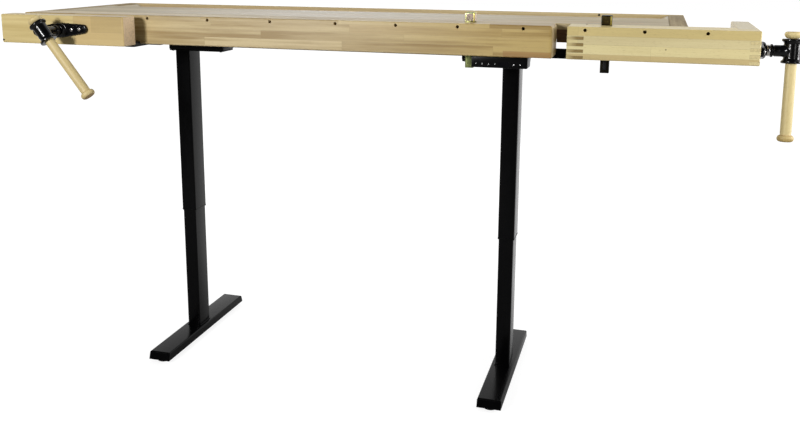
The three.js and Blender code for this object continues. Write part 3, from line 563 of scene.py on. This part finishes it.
# A shape after one modifier
def worked(shape, kind, settings):
    piece = asObject(shape, "work")
    modifier = piece.modifiers.new(kind, kind)
    for key, value in settings.items():
        setattr(modifier, key, value)
    done = bmesh.new()
    done.from_object(piece, bpy.context.evaluated_depsgraph_get())
    bpy.data.meshes.remove(piece.data)
    return done


def carved(shape, *tools):
    for tool in tools:
        cutter = asObject(tool, "tool")
        shape = worked(shape, "BOOLEAN", {"operation": "DIFFERENCE", "object": cutter, "solver": "EXACT"})
        bpy.data.meshes.remove(cutter.data)
    return shape


# Melt shapes into one casting with soft inner corners
def cast(shape, voxel, passes):
    shape = worked(shape, "REMESH", {"mode": "VOXEL", "voxel_size": voxel * mm})
    for step in range(passes):
        bmesh.ops.smooth_vert(shape, verts=shape.verts, factor=0.5, use_axis_x=True, use_axis_y=True,
                              use_axis_z=True)
    return shape


def addPiece(shape, name, body, paint, stands=(), sharp=32):
    bmesh.ops.remove_doubles(shape, verts=shape.verts, dist=1e-6)
    bmesh.ops.recalc_face_normals(shape, faces=shape.faces)
    piece = asObject(shape, name)
    piece.data.materials.append(paints[paint].owner)
    piece.data.shade_smooth()
    piece.data.set_sharp_from_angle(angle=math.radians(sharp))
    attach(piece, body)
    if stands:
        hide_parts(*stands)


# Small fasteners, standing on z = 0
fastener = {"arm": 0.62, "wide": 0.2, "depth": 0.55, "hexagon": 0.5}


def screwHead(radius, height, straight, bends, steps):
    edge = height * (1 - straight)
    return turnedSolid([(radius, 0)] + arc(radius - edge, height * straight, edge, 0, 90, bends), steps)


def crossScrew(radius, height):
    arm, wide = radius * fastener["arm"], radius * fastener["wide"] / 2
    deep = (height * (1 - fastener["depth"]), height * 2)
    return carved(screwHead(radius, height, 0.35, 4, 28),
                  boxShape((-arm, arm), (-wide, wide), deep), boxShape((-wide, wide), (-arm, arm), deep))


def socketBolt(radius, height):
    hexagon = bmesh.new()
    across = radius * fastener["hexagon"] * mm
    bmesh.ops.create_cone(hexagon, cap_ends=True, segments=6, radius1=across, radius2=across, depth=height * 1.2 * mm)
    return carved(screwHead(radius, height, 0.75, 3, 32), shifted(hexagon, 0, 0, height))


# Vise castings, screws and handles, drawn with the screw along z and the handle along x
# A curve is a lathe profile of radius and height
vise = {
    "seat": 0.3, "hub": 22.0, "tip": 13.0, "plate": 10.0, "plateEdge": ((2.2, 0.0), (0.7, 0.8), (0.0, 2.6)),
    "bossCurve": ((21.8, 0.3), (21.8, 10.5), (21.4, 13.2), (20.3, 15.4), (18.8, 17.1), (17.2, 18.2), (15.8, 18.8),
                  (14.8, 19.0)),
    "ringCurve": ((11.1, 19.3), (12.6, 19.3), (14.0, 20.3), (14.8, 22.1), (14.8, 26.1), (14.1, 27.8), (12.8, 28.7),
                  (11.1, 28.7), (11.1, 19.3)),
    "neckCurve": ((15.9, 28.8), (16.5, 29.6), (16.5, 33.6), (15.7, 34.4), (13.0, 35.0), (13.0, 37.0), (14.5, 38.2),
                  (14.5, 56.0), (15.4, 60.5), (17.6, 66.0), (18.0, 74.0)),
    "rimCurve": ((23.4, 30.5), (24.9, 29.0), (24.9, 25.1), (23.9, 23.9), (20.9, 21.7), (19.5, 18.5)),
    "reach": 79.0, "bore": 13.9, "spindle": 11.0, "spindleHole": 11.4, "shankTop": 52.0, "root": 8.7, "lead": 6.0,
    "threadCurve": ((11.0, 0.0), (11.0, 2.1), (8.7, 2.95), (8.7, 5.15), (11.0, 6.0)), "threadSteps": 20,
    "flangeScrew": (5.6, 3.2), "setScrew": (3.0, 1.4), "setScrewPlace": (-14.3, 47.0)}
handle = {  # the fixed knob is drawn up from the handle's foot, the loose knob down from its own top
    "radius": 13.5, "waist": 13.2, "shoulder": -30.8, "foot": 208.2, "spigot": 7.5, "spigotLong": 10.0, "slack": 0.3,
    "fixedCurve": ((13.0, -1.4), (13.3, -0.3), (15.6, 0.7), (17.9, 2.4), (19.4, 5.0), (20.0, 8.0), (19.7, 11.0),
                   (18.5, 13.8), (16.2, 15.9), (13.0, 16.8), (8.0, 17.0)),
    "looseCurve": ((12.6, 0.0), (15.4, -1.4), (18.2, -4.6), (19.8, -8.6), (20.0, -10.6), (19.3, -13.6), (17.0, -16.0),
                   (13.0, -16.9), (0.0, -17.0))}
vises = {  # wing is the way of the flange, way that of the handle; places are the flange screws
    # the front thrust ring is steel like the tail's, painted dark as painted shade where it sits in shadow between the
    # sleeve and the flange
    "front": {"flange": 182.0, "wing": (0.99756, 0, 0.06976), "outward": (0, -1, 0), "way": (0.61566, 0, -0.78801),
              "places": (42.0, 68.0), "smoothTo": -57.0, "end": -345.0, "ring": "darkBoltAndPaintedShade"},
    "tail": {"flange": 124.0, "wing": (0, 1, 0), "outward": (1, 0, 0), "way": (0, -0.08716, -0.99619),
             "places": (31.0, 48.0), "smoothTo": -44.0, "end": -320.0, "ring": "screwSteel"},
}


def flangeShape(length):
    tipPlace = length / 2 - vise["tip"]
    levels = [(vise["seat"], 0.0)] + [(vise["plate"] - down, inset) for down, inset in vise["plateEdge"]]
    shape = bmesh.new()
    for x, radius in ((0, vise["hub"]), (tipPlace, vise["tip"]), (-tipPlace, vise["tip"])):
        for z, inset in levels:
            bmesh.ops.create_circle(shape, cap_ends=False, segments=48, radius=(radius - inset) * mm,
                                    matrix=Matrix.Translation((x * mm, 0, z * mm)))
    hull = bmesh.ops.convex_hull(shape, input=shape.verts[:])
    inside = [part for part in hull["geom_interior"] if isinstance(part, bmesh.types.BMVert)]
    bmesh.ops.delete(shape, geom=inside, context="VERTS")
    bmesh.ops.delete(shape, geom=[edge for edge in shape.edges if not edge.link_faces], context="EDGES")
    whole = cast(gathered(shape, turnedSolid(vise["bossCurve"])), 1.0, 4)
    hole = turnedSolid([(vise["spindleHole"], -5), (vise["spindleHole"], 40)], 48)
    return carved(whole, hole, boxShape((-200, 200), (-200, 200), (-50, vise["seat"])))


def headShape():
    lower = [(radius, -height) for radius, height in vise["rimCurve"]]
    sleeve = turnedSolid([*lower, *reversed(vise["rimCurve"])], 80)
    turn = Matrix.Translation((0, 0, vise["reach"] * mm)) @ Matrix.Rotation(math.pi / 2, 4, "Y")
    whole = cast(gathered(turnedSolid(vise["neckCurve"]), moved(sleeve, turn)), 0.9, 3)
    return carved(whole, moved(turnedSolid([(vise["bore"], -60), (vise["bore"], 60)]), turn))


def spindleShape(smoothTo, end):
    lead, root, crest, steps = vise["lead"], vise["root"], vise["spindle"], vise["threadSteps"]
    shank = turnedSolid([(root, smoothTo - 4), (crest, smoothTo + 1), (crest, vise["shankTop"])], 48)
    turns = int((smoothTo - end - 6) / lead)
    low = smoothTo - turns * lead
    thread = bmesh.new()
    bmesh.ops.spin(thread, geom=drawn(thread, vise["threadCurve"], low - lead), cent=(0, 0, 0), axis=(0, 0, 1),
                   angle=2 * math.pi * turns, steps=steps * turns, dvec=(0, 0, lead / steps * mm))
    bmesh.ops.remove_doubles(thread, verts=thread.verts, dist=2e-6)
    bmesh.ops.holes_fill(thread, edges=[edge for edge in thread.edges if edge.is_boundary], sides=0)
    nose = turnedSolid([(root - 1.5, end), (root, end + 1.5), (root, low + 8)], 40)
    return gathered(shank, thread, nose)


def handleShape():
    shoulder, foot, radius, waist = handle["shoulder"], handle["foot"], handle["radius"], handle["waist"]
    spigot = [(handle["spigot"], shoulder - handle["spigotLong"]), (handle["spigot"], shoulder - 0.1)]
    bar = [(radius - 2, shoulder), (waist, shoulder + 1.8), (waist, 60), (radius, 140), (radius, foot - 6)]
    return turnedSolid(spigot + bar + [(across, foot + up) for across, up in handle["fixedCurve"]])


def knobShape():
    slack = handle["slack"]
    top, hole = handle["shoulder"] - slack, handle["spigot"] + slack
    deep = top - handle["spigotLong"] + slack
    outside = [(across, top + up) for across, up in handle["looseCurve"]]
    return lathe([(hole, top), *outside, (0, deep), (hole, deep), (hole, top)])


def makeVise(side):
    setup = vises[side]
    wood = side + "HandleWood"
    outward = Vector(setup["outward"])
    low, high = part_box(side + "_flange")
    half = abs((high - low).dot(outward)) / 2
    origin = (low + high) / 2 - outward * (half + vise["seat"] * mm)
    flangePlace = placed(origin, setup["wing"], outward)
    headPlace = placed(origin, setup["way"], outward)
    barPlace = placed(origin + outward * vise["reach"] * mm, outward, setup["way"])

    def add(shape, place, name, body, paint, stands=None, sharp=32):
        replaced = [side + stands] if stands else ()
        addPiece(moved(shape, place), side + name, side + body, paint, replaced, sharp)

    add(flangeShape(setup["flange"]), flangePlace, "_flange_casting", "_vise", "enamel", "_flange", 50)
    # every flange screw stops at its own angle
    screws = [shifted(turned(crossScrew(*vise["flangeScrew"]), place * 7, "Z"), place, 0, vise["plate"] - 0.1)
              for place in (*setup["places"], *(-place for place in setup["places"]))]
    add(gathered(*screws), flangePlace, "_flange_screws", "_vise", "screwSteel")
    add(headShape(), headPlace, "_head_casting", "_screw", "enamel", "_screw_head", 50)
    # thrust ring: steel on the tail vise; on the front vise its dark finish is painted shade
    add(lathe(vise["ringCurve"]), headPlace, "_thrust_ring", "_screw", setup["ring"])
    setScrew = tipped(socketBolt(*vise["setScrew"]), 90, 0, *vise["setScrewPlace"])
    add(setScrew, headPlace, "_set_screw", "_screw", "darkBoltAndPaintedShade")
    spindle = spindleShape(setup["smoothTo"], setup["end"])
    add(spindle, headPlace, "_threaded_spindle", "_screw", "threadSteel", "_spindle")
    add(handleShape(), barPlace, "_turned_handle", "_bar", wood, "_handle", 40)
    add(knobShape(), barPlace, "_turned_knob", "_bar", wood, "_handle_knob", 40)


for side in vises:
    makeVise(side)
print("vises done")

# Lifting columns: a wide tube with a plastic bush, over a narrow one
column = {"upperCorner": 6.0, "lowerCorner": 4.5, "wall": 2.0, "bush": 3.0, "lip": 0.6, "play": 0.5}


def makeColumn(side):
    x, y, z = span("upper_tube_" + side)
    lowX, lowY, lowZ = span("lower_tube_" + side)
    addPiece(tubeShape(x, y, z, column["upperCorner"], column["wall"]), "upper_column_" + side, "top", "powder",
             ["upper_tube_" + side])
    bush = columnShape(grown(x, column["lip"]), grown(y, column["lip"]), (z[0] - column["bush"], z[0] + 1.0),
                       column["upperCorner"], 0.5)
    hole = columnShape(grown(lowX, column["play"]), grown(lowY, column["play"]), about(z[0], 20), column["lowerCorner"])
    addPiece(carved(bush, hole), "column_bush_" + side, "top", "mould")
    addPiece(tubeShape(lowX, lowY, lowZ, column["lowerCorner"], column["wall"]), "lower_column_" + side, "base",
             "powder", ["lower_tube_" + side])


# Feet: steel pressings with sloped ends, bolted and welded to the columns
foot = {"splay": 8.0, "round": 5.0, "wall": 3.0, "plug": 70.0, "weldWide": 3.0, "weldHigh": 2.4, "weldCorner": 6.5,
        "bolt": (6.5, 5.0), "boltPlace": (14, 26)}


def makeFoot(side):
    x, y, z = span("foot_" + side)
    tubeX, tubeY = span("lower_tube_" + side)[:2]
    middleX, middleY = sum(x) / 2, sum(tubeY) / 2
    top = grown(y, -foot["splay"])
    shape = boxShape(x, top, z)
    for vert in shape.verts:
        if vert.co.z < (z[0] + 1) * mm:
            vert.co.y += math.copysign(foot["splay"] * mm, vert.co.y - middleY * mm)
    upper = [edge for edge in shape.edges if all(vert.co.z > (z[1] - 1) * mm for vert in edge.verts)]
    roundOff(shape, upper, foot["round"], 5)
    hollow = boxShape(grown(x, -foot["wall"]), grown(top, -foot["plug"]), (z[0] - 5, z[1] - foot["wall"]), 2.0)
    addPiece(carved(shape, hollow), "foot_pressing_" + side, "base", "powder", ["foot_" + side])
    bolts = [tipped(socketBolt(*foot["bolt"]), 180, px, py, z[1] - foot["wall"] - 0.1)
             for px in about(middleX, foot["boltPlace"][0]) for py in about(middleY, foot["boltPlace"][1])]
    addPiece(gathered(*bolts), "foot_bolts_" + side, "base", "darkBoltAndPaintedShade")
    weld = columnShape(grown(tubeX, foot["weldWide"]), grown(tubeY, foot["weldWide"]),
                       (z[1] - 0.2, z[1] + foot["weldHigh"]), foot["weldCorner"], 1.8)
    core = columnShape(grown(tubeX, -0.5), grown(tubeY, -0.5), about(z[1], 8), 4)
    addPiece(carved(weld, core), "foot_weld_" + side, "base", "powder")


# Levelling glides, ribbed for the fingers
glide = {"ribs": 30, "ribOut": 0.42, "ribHalf": 0.9, "ribZ": (2.6, 7.1), "inset": 0.45, "edge": 2.0, "height": 9.7,
         "stem": 5.0}


def makeGlide(name):
    x, y, z = span(name)
    radius, edge, height, stem = (x[1] - x[0]) / 2 - glide["inset"], glide["edge"], glide["height"], glide["stem"]
    disc = turnedSolid(arc(radius - edge, edge, edge, -90, 0, 4) + arc(radius - edge, height - edge, edge, 0, 90, 4)
                       + [(stem, height), (stem, z[1])], 48)
    ribX, ribY = (radius - 1.0, radius + glide["ribOut"]), about(0, glide["ribHalf"])
    ribs = [turned(boxShape(ribX, ribY, glide["ribZ"], 0.3, 1), step * 360 / glide["ribs"], "Z")
            for step in range(glide["ribs"])]
    addPiece(shifted(gathered(disc, *ribs), sum(x) / 2, sum(y) / 2, 0), name + "_disc", name, "nylon",
             [name])


# Motor housings with a lid, the screws that hold it, and the bolts of the support arms
housing = {"lid": 3.4, "gap": 0.6, "corner": 8.0, "rim": 2.0, "lidInset": 0.8, "lidCorner": 7.5, "lidRim": 1.4,
           "screw": (4.2, 2.2), "lidScrews": (12, 10), "sideScrews": (34, 30)}
arm = {"bolt": (6.0, 4.5), "apart": 14, "front": (22, 172), "back": 28, "recess": 2.9}


def makeHousing(side):
    x, y, z = span("motor_housing_" + side)
    shell = columnShape(x, y, (z[0] + housing["lid"] + housing["gap"], z[1]), housing["corner"], housing["rim"])
    lid = columnShape(grown(x, -housing["lidInset"]), grown(y, -housing["lidInset"]), (z[0], z[0] + housing["lid"]),
                      housing["lidCorner"], housing["lidRim"])
    core = columnShape(grown(x, -3), grown(y, -3), (z[0] + 1, z[0] + 8), 6)
    addPiece(gathered(shell, lid, core), "gear_housing_" + side, "top", "powder",
             ["motor_housing_" + side])
    insetX, insetY = housing["lidScrews"]
    screws = [tipped(crossScrew(*housing["screw"]), 180, px, py, z[0] + 0.1)
              for px in grown(x, -insetX) for py in grown(y, -insetY)]
    inset, up = housing["sideScrews"]
    for px in grown(x, -inset):
        screws.append(tipped(crossScrew(*housing["screw"]), 90, px, y[0] + 0.1, z[0] + up))
        screws.append(tipped(crossScrew(*housing["screw"]), -90, px, y[1] - 0.1, z[0] + up))
    addPiece(gathered(*screws), "housing_screws_" + side, "top", "darkBoltAndPaintedShade")
    armX, armY, armZ = span("support_arm_" + side)
    places = [armY[0] + at for at in arm["front"]] + [armY[1] - arm["back"]]
    bolts = [tipped(socketBolt(*arm["bolt"]), 180, px, py, armZ[1] - arm["recess"])
             for px in about(sum(armX) / 2, arm["apart"]) for py in places]
    addPiece(gathered(*bolts), "arm_bolts_" + side, "top", "darkBoltAndPaintedShade")


for side in ("left", "right"):
    makeColumn(side)
    makeFoot(side)
    makeHousing(side)
    for end in ("front", "back"):
        makeGlide("glide_" + side + "_" + end)
crossBeam = {"corner": 5.0, "rim": 0.6}
addPiece(columnShape(*span("cross_beam"), crossBeam["corner"], crossBeam["rim"], 0), "cross_beam_tube", "top", "powder",
         ["cross_beam"])
print("lifting frame done")

# Control box under the slab, ribbed below and with four sockets at its end
controlBox = {"corner": 8.0, "rim": 2.5, "fins": 11, "finStart": 50.0, "finPitch": 14.0, "finThick": 5.0,
              "finInset": 22.0, "finZ": (-1.6, 1.0), "sockets": (19.5, 41.5, 63.5, 85.5), "socketHalf": 7.0,
              "socketX": (-3.0, 5.0), "socketZ": (9.0, 22.0)}


def makeControlBox():
    x, y, z = span("control_box")
    sockets = [boxShape(beyond(x[1], controlBox["socketX"]), about(y[0] + at, controlBox["socketHalf"]),
                        beyond(z[0], controlBox["socketZ"])) for at in controlBox["sockets"]]
    shell = carved(columnShape(x, y, z, controlBox["corner"], controlBox["rim"]), *sockets)
    starts = [x[0] + controlBox["finStart"] + step * controlBox["finPitch"] for step in range(controlBox["fins"])]
    fins = [boxShape((start, start + controlBox["finThick"]), grown(y, -controlBox["finInset"]),
                     beyond(z[0], controlBox["finZ"]), 0.7, 2) for start in starts]
    addPiece(gathered(shell, *fins), "control_case", "top", "mould", ["control_box"])


makeControlBox()

# Handset with its keys and a dark display
handset = {"lean": 6.0, "edge": 2.6, "gap": 0.4, "socket": 4.4, "window": (72.0, 100.0), "windowHalf": 6.0,
           "windowDeep": 0.8, "digit": 5.6, "arrow": 2.3, "ink": 0.12}
keyNames = ["preset_key_1", "preset_key_2", "preset_key_3", "preset_key_4", "raise_key", "lower_key"]


def makeHandset():
    x, y, z = span("handset")
    shell = boxShape(x, y, z)
    for vert in shell.verts:
        if vert.co.z < (z[0] + 1) * mm and vert.co.y > (y[1] - 1) * mm:
            vert.co.y -= handset["lean"] * mm
    roundOff(shell, shell.edges[:], handset["edge"], 4)
    tools = []
    for name in keyNames:
        keyX, keyZ = span(name)[::2]
        radius = (keyX[1] - keyX[0]) / 2 + handset["gap"]
        hole = turnedSolid([(radius, -1), (radius, handset["socket"])], 40)
        tools.append(tipped(hole, -90, sum(keyX) / 2, y[0], sum(keyZ) / 2))
    window = beyond(x[0], handset["window"])
    tall = about(sum(span("raise_key")[2]) / 2, handset["windowHalf"])
    tools.append(boxShape(window, (y[0] - 2, y[0] + handset["windowDeep"]), tall))
    addPiece(carved(shell, *tools), "handset_case", "top", "mould", ["handset"], 30)
    display = boxShape(grown(window, -0.05), (y[0] + 0.02, y[0] + handset["windowDeep"] - 0.02), grown(tall, -0.05))
    addPiece(display, "handset_display", "top", "glass")


def flatText(words, size):
    curve = bpy.data.curves.new("digit", "FONT")
    curve.body = words
    curve.size = size * mm
    curve.align_x = "CENTER"
    curve.align_y = "CENTER"
    curve.extrude = handset["ink"] / 2 * mm
    written = bpy.data.objects.new("digit", curve)
    scene.collection.objects.link(written)
    shape = bmesh.new()
    shape.from_mesh(written.evaluated_get(bpy.context.evaluated_depsgraph_get()).to_mesh())
    bpy.data.objects.remove(written)
    bpy.data.curves.remove(curve)
    return shape


def arrow(size, up):
    shape = bmesh.new()
    bmesh.ops.create_cone(shape, cap_ends=True, segments=3, radius1=size * mm, radius2=size * mm,
                          depth=handset["ink"] * mm)
    return turned(shape, 0 if up else 180, "Z")


def makeKey(name, number):
    x, y, z = span(name)
    radius, deep = (x[1] - x[0]) / 2, y[1] - y[0]
    cap = turnedSolid([(radius - 0.6, 0)] + arc(radius - 0.5, 0.5, 0.5, -90, 0, 3) + [(radius, deep)], 40)
    middleX, middleZ = sum(x) / 2, sum(z) / 2
    addPiece(tipped(cap, -90, middleX, y[0], middleZ), name + "_cap", name, "mould", [name])
    if name.startswith("preset"):
        mark = flatText(str(number), handset["digit"])
    else:
        mark = arrow(handset["arrow"], name == "raise_key")
    addPiece(tipped(mark, 90, middleX, y[0] - 0.03, middleZ), name + "_mark", name, "keyPrint")


makeHandset()
for number, name in enumerate(keyNames, 1):
    makeKey(name, number)
print("handset done")

# Bench dogs: square steel with a knurled gripping face and a leaf spring
dog = {"head": (28.0, 26.0, 26.0), "headInset": (0.7, 0.3), "headRound": 2.2, "shank": (23.0, 22.0), "shankRound": 1.2,
       "knurl": 9, "knurlTop": 0.3, "grip": (20.5, 20.0, 0.5), "gripOut": 13.32, "plain": (21.5, 20.0, 0.22),
       "plainIn": 0.28, "spring": (9.0, 86.0, 1.2), "springStart": 8.0,
       "rubbedX": (-4.6, -0.9), "rubbedY": (0.12, 1.6), "rubbedZ": (-24.4, -1.4)}
dogs = {"beam_dog": {"grip": 1, "steel": "brightZinc", "face": "brightGrip", "leaf": "brightZinc"},
        "tail_dog": {"grip": -1, "steel": "darkZinc", "face": "darkGrip", "leaf": "darkBoltAndPaintedShade"}}


def knurlShape(wide, tall, depth):
    grid = bmesh.new()
    bmesh.ops.create_grid(grid, x_segments=dog["knurl"], y_segments=dog["knurl"], size=0.5)
    moved(grid, Matrix.Diagonal((wide * mm, tall * mm, 1, 1)))
    bmesh.ops.inset_individual(grid, faces=grid.faces[:], thickness=dog["knurlTop"] * wide / dog["knurl"] * mm,
                               depth=depth * mm)
    return grid


def makeDog(name):
    look = dogs[name]
    x, y, z = span(name)
    middleX, middleY, top = sum(x) / 2, sum(y) / 2, z[1]
    headX, headY, headZ = dog["head"]
    wide, deep = dog["shank"]
    leafWide, leafLong, leafThick = dog["spring"]
    front, face, right = middleY - deep / 2, middleY - headY / 2, middleX + headX / 2
    leafLow = z[0] + dog["springStart"]
    shank = boxShape(about(middleX, wide / 2), about(middleY, deep / 2), (z[0], top - headZ + 2), dog["shankRound"], 3)
    slot = boxShape(about(middleX, leafWide / 2 + 0.4), (front - 5, front + leafThick + 0.3),
                    (leafLow, leafLow + leafLong))
    insetX, insetY = dog["headInset"]
    head = boxShape(about(middleX, headX / 2 - insetX), about(middleY, headY / 2 - insetY), (top - headZ, top),
                    dog["headRound"], 4)
    addPiece(gathered(carved(shank, slot), head), name + "_steel", name, look["steel"], [name], 30)
    grip = shifted(turned(knurlShape(*dog["grip"]), 90 * look["grip"], "Y"),
                   middleX + look["grip"] * dog["gripOut"], middleY, top - headZ / 2)
    plain = tipped(knurlShape(*dog["plain"]), 90, middleX, face + dog["plainIn"], top - headZ / 2)
    addPiece(gathered(grip, plain), name + "_knurl", name, look["face"], (), 20)
    rubbed = boxShape(beyond(right, dog["rubbedX"]), beyond(face, dog["rubbedY"]), beyond(top, dog["rubbedZ"]), 0.5, 2)
    addPiece(rubbed, name + "_rubbed_edge", name, "yellowEdge")
    leaf = boxShape(about(middleX, leafWide / 2), (front + 0.25, front + leafThick),
                    (leafLow + 0.5, leafLow + leafLong - 0.5), 0.4, 2)
    addPiece(leaf, name + "_leaf", name, look["leaf"])


for name in dogs:
    makeDog(name)
print("dogs done")

# Screws let into the wood and the plate: head, then place
letIn = {"jawHead": (3.0, 0.9), "jaw": (4.5, 8.0), "railHead": (3.6, 0.9), "rail": (252.0, 4.5),
         "plateHead": (4.0, 1.4), "plate": (16.0, 146.0, 221.0)}


def makeLetInScrews():
    x, y, z = span("front_jaw")
    right, up = letIn["jaw"]
    addPiece(tipped(crossScrew(*letIn["jawHead"]), 90, x[0] + right, y[0] + 0.05, z[0] + up),
             "jaw_screw", "front_vise", "darkBoltAndPaintedShade")
    x, y, z = span("back_rail")
    left, down = letIn["rail"]
    addPiece(tipped(crossScrew(*letIn["railHead"]), 90, x[1] - left, y[0] + 0.1, z[1] - down),
             "rail_screw", "top", "darkBoltAndPaintedShade")
    x, y, z = span("tail_keeper_plate")
    screws = [tipped(crossScrew(*letIn["plateHead"]), 180, x[0] + at, sum(y) / 2, z[0] + 0.1) for at in letIn["plate"]]
    addPiece(gathered(*screws), "keeper_screws", "tail_vise", "screwSteel")


makeLetInScrews()
print("let-in screws done")

# Floor: white to the camera, a little less near the feet; in gloss it brightens towards the back
ground = {"size": 20.0, "albedo": (0.25, 0.25, 0.25), "near": 1.3, "far": 3.2, "nearGlow": 0.84,
          "dim": 0.1, "bright": 0.9, "dimGlow": 0.06}


def makeFloor():
    shape = bmesh.new()
    bmesh.ops.create_grid(shape, x_segments=2, y_segments=2, size=ground["size"])
    floor = asObject(shape, "floor")
    paint = newPaint("floorPaint")
    seen = paint.node("ShaderNodeLightPath", out="Is Camera Ray")
    x, y = paint.parts(paint.place())[:2]
    seen = seen + seen.other("Is Glossy Ray") * paint.range(y, ground["dim"], ground["bright"], ground["dimGlow"], 1.0)
    level = paint.range((x ** 2.0 + y ** 2.0) ** 0.5, ground["near"], ground["far"], ground["nearGlow"], 1.0)
    glow = paint.node("ShaderNodeEmission", None, [paint.mix(seen * level, black, white), 1.0])
    matt = paint.node("ShaderNodeBsdfDiffuse", None, [(*ground["albedo"], 1)])
    both = paint.node("ShaderNodeAddShader", None, [glow, matt])
    paint.link(paint.tree.nodes["Material Output"].inputs["Surface"], both)
    floor.data.materials.append(paint.owner)


# World: white to the camera, otherwise a bright backdrop and a dim room in front of it
room = {"front": 0.03, "back": 0.95, "tilt": 0.35, "fade": (-0.05, 0.3)}


def makeWorld():
    scene.world = bpy.data.worlds.new("studio")
    paint = Paint(scene.world)
    seen = paint.node("ShaderNodeLightPath", out="Is Camera Ray")
    depth, height = paint.parts(paint.node("ShaderNodeTexCoord", out="Generated"))[1:]
    level = paint.range(depth - height * room["tilt"], *room["fade"], room["front"], room["back"])
    backdrop = paint.mix(seen, paint.mix(level, black, white), white)
    paint.link(paint.tree.nodes["Background"].inputs["Color"], backdrop)


# Soft boxes; only some of them show in glossy surfaces
lamps = {
    "key": {"at": (-1.17, -2.9, 1.64), "to": (-0.3, -0.2, 1.0), "size": (0.34, 0.44), "power": 74.0, "gloss": True},
    "fill": {"at": (1.8, -1.15, 1.45), "to": (0.9, -0.1, 1.0), "size": (0.6, 0.9), "power": 11.4},
    "strip": {"at": (1.8, -1.15, 1.3), "to": (1.05, -0.1, 1.06), "size": (0.2, 0.9), "power": 2.6, "gloss": True},
    "side": {"at": (3.4, 0.3, 1.5), "to": (-0.5, 0.0, 0.9), "size": (1.0, 1.0), "power": 62.0, "gloss": True},
    "top": {"at": (0.0, 0.1, 3.2), "to": (0.0, 0.1, 0.0), "size": (2.6, 1.4), "power": 13.0},
    "rear": {"at": (-1.0, 3.3, 1.8), "to": (0.0, 0.3, 0.9), "size": (2.0, 1.2), "power": 60.0},
}


def makeLamps():
    for name, look in lamps.items():
        light = bpy.data.lights.new(name, "AREA")
        light.shape = "RECTANGLE"
        light.size, light.size_y = look["size"]
        light.energy = look["power"]
        lamp = bpy.data.objects.new(name, light)
        lamp.location = look["at"]
        lamp.rotation_euler = (Vector(look["to"]) - Vector(look["at"])).to_track_quat("-Z", "Y").to_euler()
        lamp.visible_glossy = look.get("gloss", False)
        lamp.visible_camera = False
        scene.collection.objects.link(lamp)


# Camera: angles in radians, lens and sensor in millimetres
view = {"at": (0.75418, -2.46901, 1.28761), "yaw": 0.28484, "pitch": 0.19733, "roll": 0.00454, "lens": 39.55,
        "sensor": 36.0, "shift": (0.00574, -0.105)}


def makeCamera():
    data = bpy.data.cameras.new("camera")
    data.sensor_width = view["sensor"]
    data.lens = view["lens"]
    data.shift_x, data.shift_y = view["shift"]
    camera = bpy.data.objects.new("camera", data)
    camera.location = view["at"]
    turn = (Matrix.Rotation(view["yaw"], 3, "Z") @ Matrix.Rotation(math.pi / 2 - view["pitch"], 3, "X")
            @ Matrix.Rotation(view["roll"], 3, "Z"))
    camera.rotation_euler = turn.to_euler()
    scene.collection.objects.link(camera)
    scene.camera = camera


makeFloor()
makeWorld()
makeLamps()
makeCamera()
print("studio ready")
